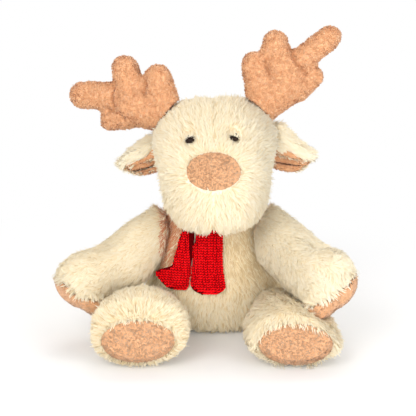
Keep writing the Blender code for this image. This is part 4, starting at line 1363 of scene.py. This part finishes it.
def dress_scarf_tail(side, seed):
    node = f"scarf_tail_{side}"
    table = TAIL_TABLES[side]
    solid = tree_of([node])
    last = table[-1][0]
    grid_u, grid_v = 41, 71
    shares = np.linspace(0, last, grid_v)
    edges = curve_table(table, shares)[:, 1:] * TAIL_WIDTH
    ragged = np.stack([shares, shares * 0, shares * 0], axis=1) * TAIL_LENGTH
    edges = edges + 0.22 * MM * wobble(ragged, 4 * MM, seed)[:, :2]
    heights = TAIL_TOP - shares * TAIL_LENGTH
    surface = np.empty((grid_v, grid_u, 3))
    for row in range(grid_v):
        start, end = edges[row]
        xs = np.linspace(start, end, grid_u)
        inner = np.clip(xs, start + 0.9 * MM, end - 0.9 * MM)
        for column in range(grid_u):
            height = np.clip(heights[row], heights[-1] + 1.0 * MM, heights[0] - 0.5 * MM)
            met = front_of(solid, inner[column], height)
            surface[row, column] = (xs[column], np.nan if met is None else met.y, heights[row])
    y = surface[..., 1]
    for row in range(grid_v):
        good = ~np.isnan(y[row])
        if good.any():
            y[row] = np.interp(np.arange(grid_u), np.flatnonzero(good), y[row][good])
        else:
            y[row] = y[row - 1]
    smooth(y, 14)
    # Lengthwise ribs and edges that roll back
    share_u = np.linspace(0, 1, grid_u)[None]
    share_v = np.linspace(0, 1, grid_v)[:, None]
    y += 1.3 * MM
    if side == "left":
        y += 0.55 * MM * np.cos(2 * math.pi * (share_u * 3.1 + 0.10 * np.sin(3 * share_v)))
    else:
        y += 0.50 * MM * np.cos(2 * math.pi * (share_u * 2.0 + 0.5 * share_v))
    y += 1.1 * MM * (np.abs(2 * share_u - 1) ** 7)
    surface[..., 1] = y

    normals = grid_normals(surface)
    thick = 1.9 * MM
    # The cloth ends a little inside the knit's edges.
    rows, columns = np.linspace(0, grid_v - 2.6, grid_v), np.linspace(0.8, grid_u - 1.8, grid_u)
    v, u = (x.ravel() for x in np.meshgrid(rows, columns, indexing="ij"))
    front = bilinear(surface, u, v).reshape(surface.shape) + normals * 0.1 * MM
    back = front - normals * thick
    if side == "right":
        share, wide = np.array(TURNED_BACK).T
        margin = np.interp(shares, share, wide) * TAIL_WIDTH
        steps = np.linspace(0, 1, 7)[1:]
        sideways = np.array((1.0, 0.0, 0.0))
        fold = front[:, -1:, :] + margin[:, None, None] * steps[None, :, None] * sideways
        fold[..., 1] += 1.1 * MM * np.sqrt(steps)[None] * np.clip(margin / (2 * MM), 0, 1)[:, None]
        fold_back = fold + np.array((0.0, thick, 0.0))
        front = np.concatenate([front, fold], axis=1)
        back = np.concatenate([back, fold_back], axis=1)
    sheet = closed_sheet(node + "_cloth", front, back, SCARF_SHADE)
    stand_for(sheet, node)

    width = np.abs(edges[:, 1] - edges[:, 0])
    run = heights[0] - heights[-1]

    def place_at(across, along):
        v = np.clip(along / run, 0, 1) * (grid_v - 1)
        local = np.interp(v, np.arange(grid_v), width)
        u = np.clip(1 - across / local, 0, 1) * (grid_u - 1)
        return bilinear(surface, u, v), bilinear(normals, u, v)

    def inside(across, along):
        v = along / run * (grid_v - 1)
        local = np.interp(v, np.arange(grid_v), width)
        return (across > 0) & (across < local) & (along > -0.6 * MM) & (along < run - 0.1 * MM)

    pitch, step = STITCH
    columns, rows = int(width.max() / pitch) + 1, int(run / step) + 1
    knit = stitches(sheet, node + "_knit", place_at, columns, rows, inside, seed)


def grid_normals(surface):
    du = np.gradient(surface, axis=1)
    dv = np.gradient(surface, axis=0)
    normal = np.cross(dv, du)
    normal /= np.maximum(np.linalg.norm(normal, axis=2, keepdims=True), 1e-12)
    front = normal[..., 1:2].mean() > 0
    return -normal if front else normal


def bilinear(grid, u, v):
    u0 = np.clip(u.astype(int), 0, grid.shape[1] - 2)
    v0 = np.clip(v.astype(int), 0, grid.shape[0] - 2)
    fu, fv = (u - u0)[:, None], (v - v0)[:, None]
    top = grid[v0, u0] * (1 - fu) + grid[v0, u0 + 1] * fu
    low = grid[v0 + 1, u0] * (1 - fu) + grid[v0 + 1, u0 + 1] * fu
    return top * (1 - fv) + low * fv


def closed_sheet(name, front, back, material):
    """A thin closed mesh between two grids."""
    rows, columns = front.shape[:2]
    verts = np.concatenate([front.reshape(-1, 3), back.reshape(-1, 3)])
    index = np.arange(rows * columns).reshape(rows, columns)
    quads = np.stack([index[:-1, :-1], index[1:, :-1], index[1:, 1:], index[:-1, 1:]], axis=-1)
    quads = quads.reshape(-1, 4)
    faces = [quads, quads[:, ::-1] + rows * columns]
    rim = np.concatenate([index[0, :-1], index[:-1, -1], index[-1, :0:-1], index[:0:-1, 0]])
    nxt = np.roll(rim, -1)
    faces.append(np.stack([rim, nxt, nxt + rows * columns, rim + rows * columns], axis=-1))
    mesh = bpy.data.meshes.new(name)
    mesh.from_pydata(verts.tolist(), [], np.concatenate(faces).tolist())
    mesh.materials.append(material)
    mesh.update()
    mesh.shade_smooth()
    return add(name, mesh)


def dress_scarf_wrap():
    """The turn round the neck: the scarf's strip with its edges rolled in, from the crossing and
    back to it."""
    node = "scarf_wrap"
    low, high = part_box(node)
    outside, tall = high.x, high.z - low.z
    deep = 0.0145
    middle, base = outside - deep / 2, (low.z + high.z) / 2
    grid_u, grid_v = 301, 25
    turns = np.radians(np.linspace(-88, 268, grid_u))
    rolls = np.radians(np.linspace(-118, 118, grid_v))[::-1]
    turn, roll = np.meshgrid(turns, rolls)
    out = middle + (deep / 2 - 0.9 * MM) * np.cos(roll)
    slack = 0.35 * MM * np.sin(turn * 7 + 2 * np.sin(roll)) + 0.25 * MM * np.sin(turn * 16 + 3 * roll)
    z = base + (tall / 2 - 0.6 * MM) * np.sin(roll) + slack * 0.5
    surface = np.stack([(out + slack) * np.cos(turn), (out + slack) * np.sin(turn), z], axis=-1)
    radial = np.stack([np.cos(roll) * np.cos(turn), np.cos(roll) * np.sin(turn), np.sin(roll)], axis=-1)
    normals = grid_normals(surface)
    normals *= np.sign((normals * radial).sum(axis=2, keepdims=True))
    sheet = closed_sheet(node + "_cloth", surface, surface - normals * 2.1 * MM, SCARF_SHADE)
    stand_for(sheet, node)
    run = float(np.linalg.norm(np.diff(surface[grid_v // 2], axis=0), axis=1).sum())
    width = float(np.linalg.norm(np.diff(surface[:, 0], axis=0), axis=1).sum())

    def place_at(across, along):
        v = np.clip(across / width, 0, 1) * (grid_v - 1)
        u = np.clip(along / run, 0, 1) * (grid_u - 1)
        return bilinear(surface, u, v), bilinear(normals, u, v)

    pitch, step = STITCH
    rows = int(run / step)
    for part, first in enumerate((0, rows // 2)):
        def from_here(across, along, start=first * step):
            return place_at(across, along + start)

        count = rows // 2 if part == 0 else rows - rows // 2
        label = f"{node}_knit_{part + 1}"
        stitches(sheet, label, from_here, int(width / pitch), count, None, 61 + part)


def dress_crossing():
    node = "scarf_crossing"
    low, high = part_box(node)
    solid = tree_of([node])
    grid_u, grid_v = 41, 13
    surface = np.empty((grid_v, grid_u, 3))
    for row, z in enumerate(np.linspace(high.z, low.z, grid_v)):
        for column, x in enumerate(np.linspace(low.x + 0.4 * MM, high.x - 0.4 * MM, grid_u)):
            inner_x = min(max(x, low.x + 1.5 * MM), high.x - 1.5 * MM)
            inner_z = min(max(z, low.z + 1.0 * MM), high.z - 1.0 * MM)
            met = front_of(solid, inner_x, inner_z)
            surface[row, column] = (x, low.y if met is None else met.y, z)
    y = surface[..., 1]
    smooth(y, 10)
    y += 1.2 * MM
    normals = grid_normals(surface)
    sheet = closed_sheet(node + "_cloth", surface, surface - normals * 2.3 * MM, SCARF_SHADE)
    stand_for(sheet, node)
    run, width = high.z - low.z, high.x - low.x - 0.8 * MM

    def place_at(across, along):
        v = np.clip(along / run, 0, 1) * (grid_v - 1)
        u = np.clip(across / width, 0, 1) * (grid_u - 1)
        return bilinear(surface, u, v), bilinear(normals, u, v)

    pitch, step = STITCH
    columns, rows = int(width / pitch), int(run / step) + 1
    knit = stitches(sheet, node + "_knit", place_at, columns, rows, None, 62)


# ---------------------------------------------------------------- the whole deer


def main():
    bpy.context.scene.view_settings.view_transform = "Standard"
    for name in ("Cube", "Light", "Camera"):
        leftover = bpy.data.objects.get(name)
        if leftover:
            bpy.data.objects.remove(leftover, do_unlink=True)
    make_camera()
    make_lights()
    make_floor()
    dress_head()
    dress_torso()
    dress_tail()
    for i, side in enumerate(("left", "right")):
        dress_patch(f"hand_pad_{side}", 5200, 71 + i)
        dress_arm(side, 41 + 10 * i)
        dress_leg(side, 44 + 10 * i)
        dress_ear(side, 47 + 10 * i)
        dress_antler(side, 49 + 10 * i)
        dress_patch(f"foot_pad_{side}", 7000, 73 + i)
        dress_lining(side, 75 + i)
        dress_scarf_tail(side, 81 + i)
    dress_patch("nose_patch", 4800, 77)
    dress_scarf_wrap()
    dress_crossing()
    eye, washer = eye_material(), washer_material()
    for side in ("left", "right"):
        for node, finish in ((f"eye_{side}", eye), (f"eye_washer_{side}", washer)):
            nodes[node].data.materials.clear()
            nodes[node].data.materials.append(finish)


main()
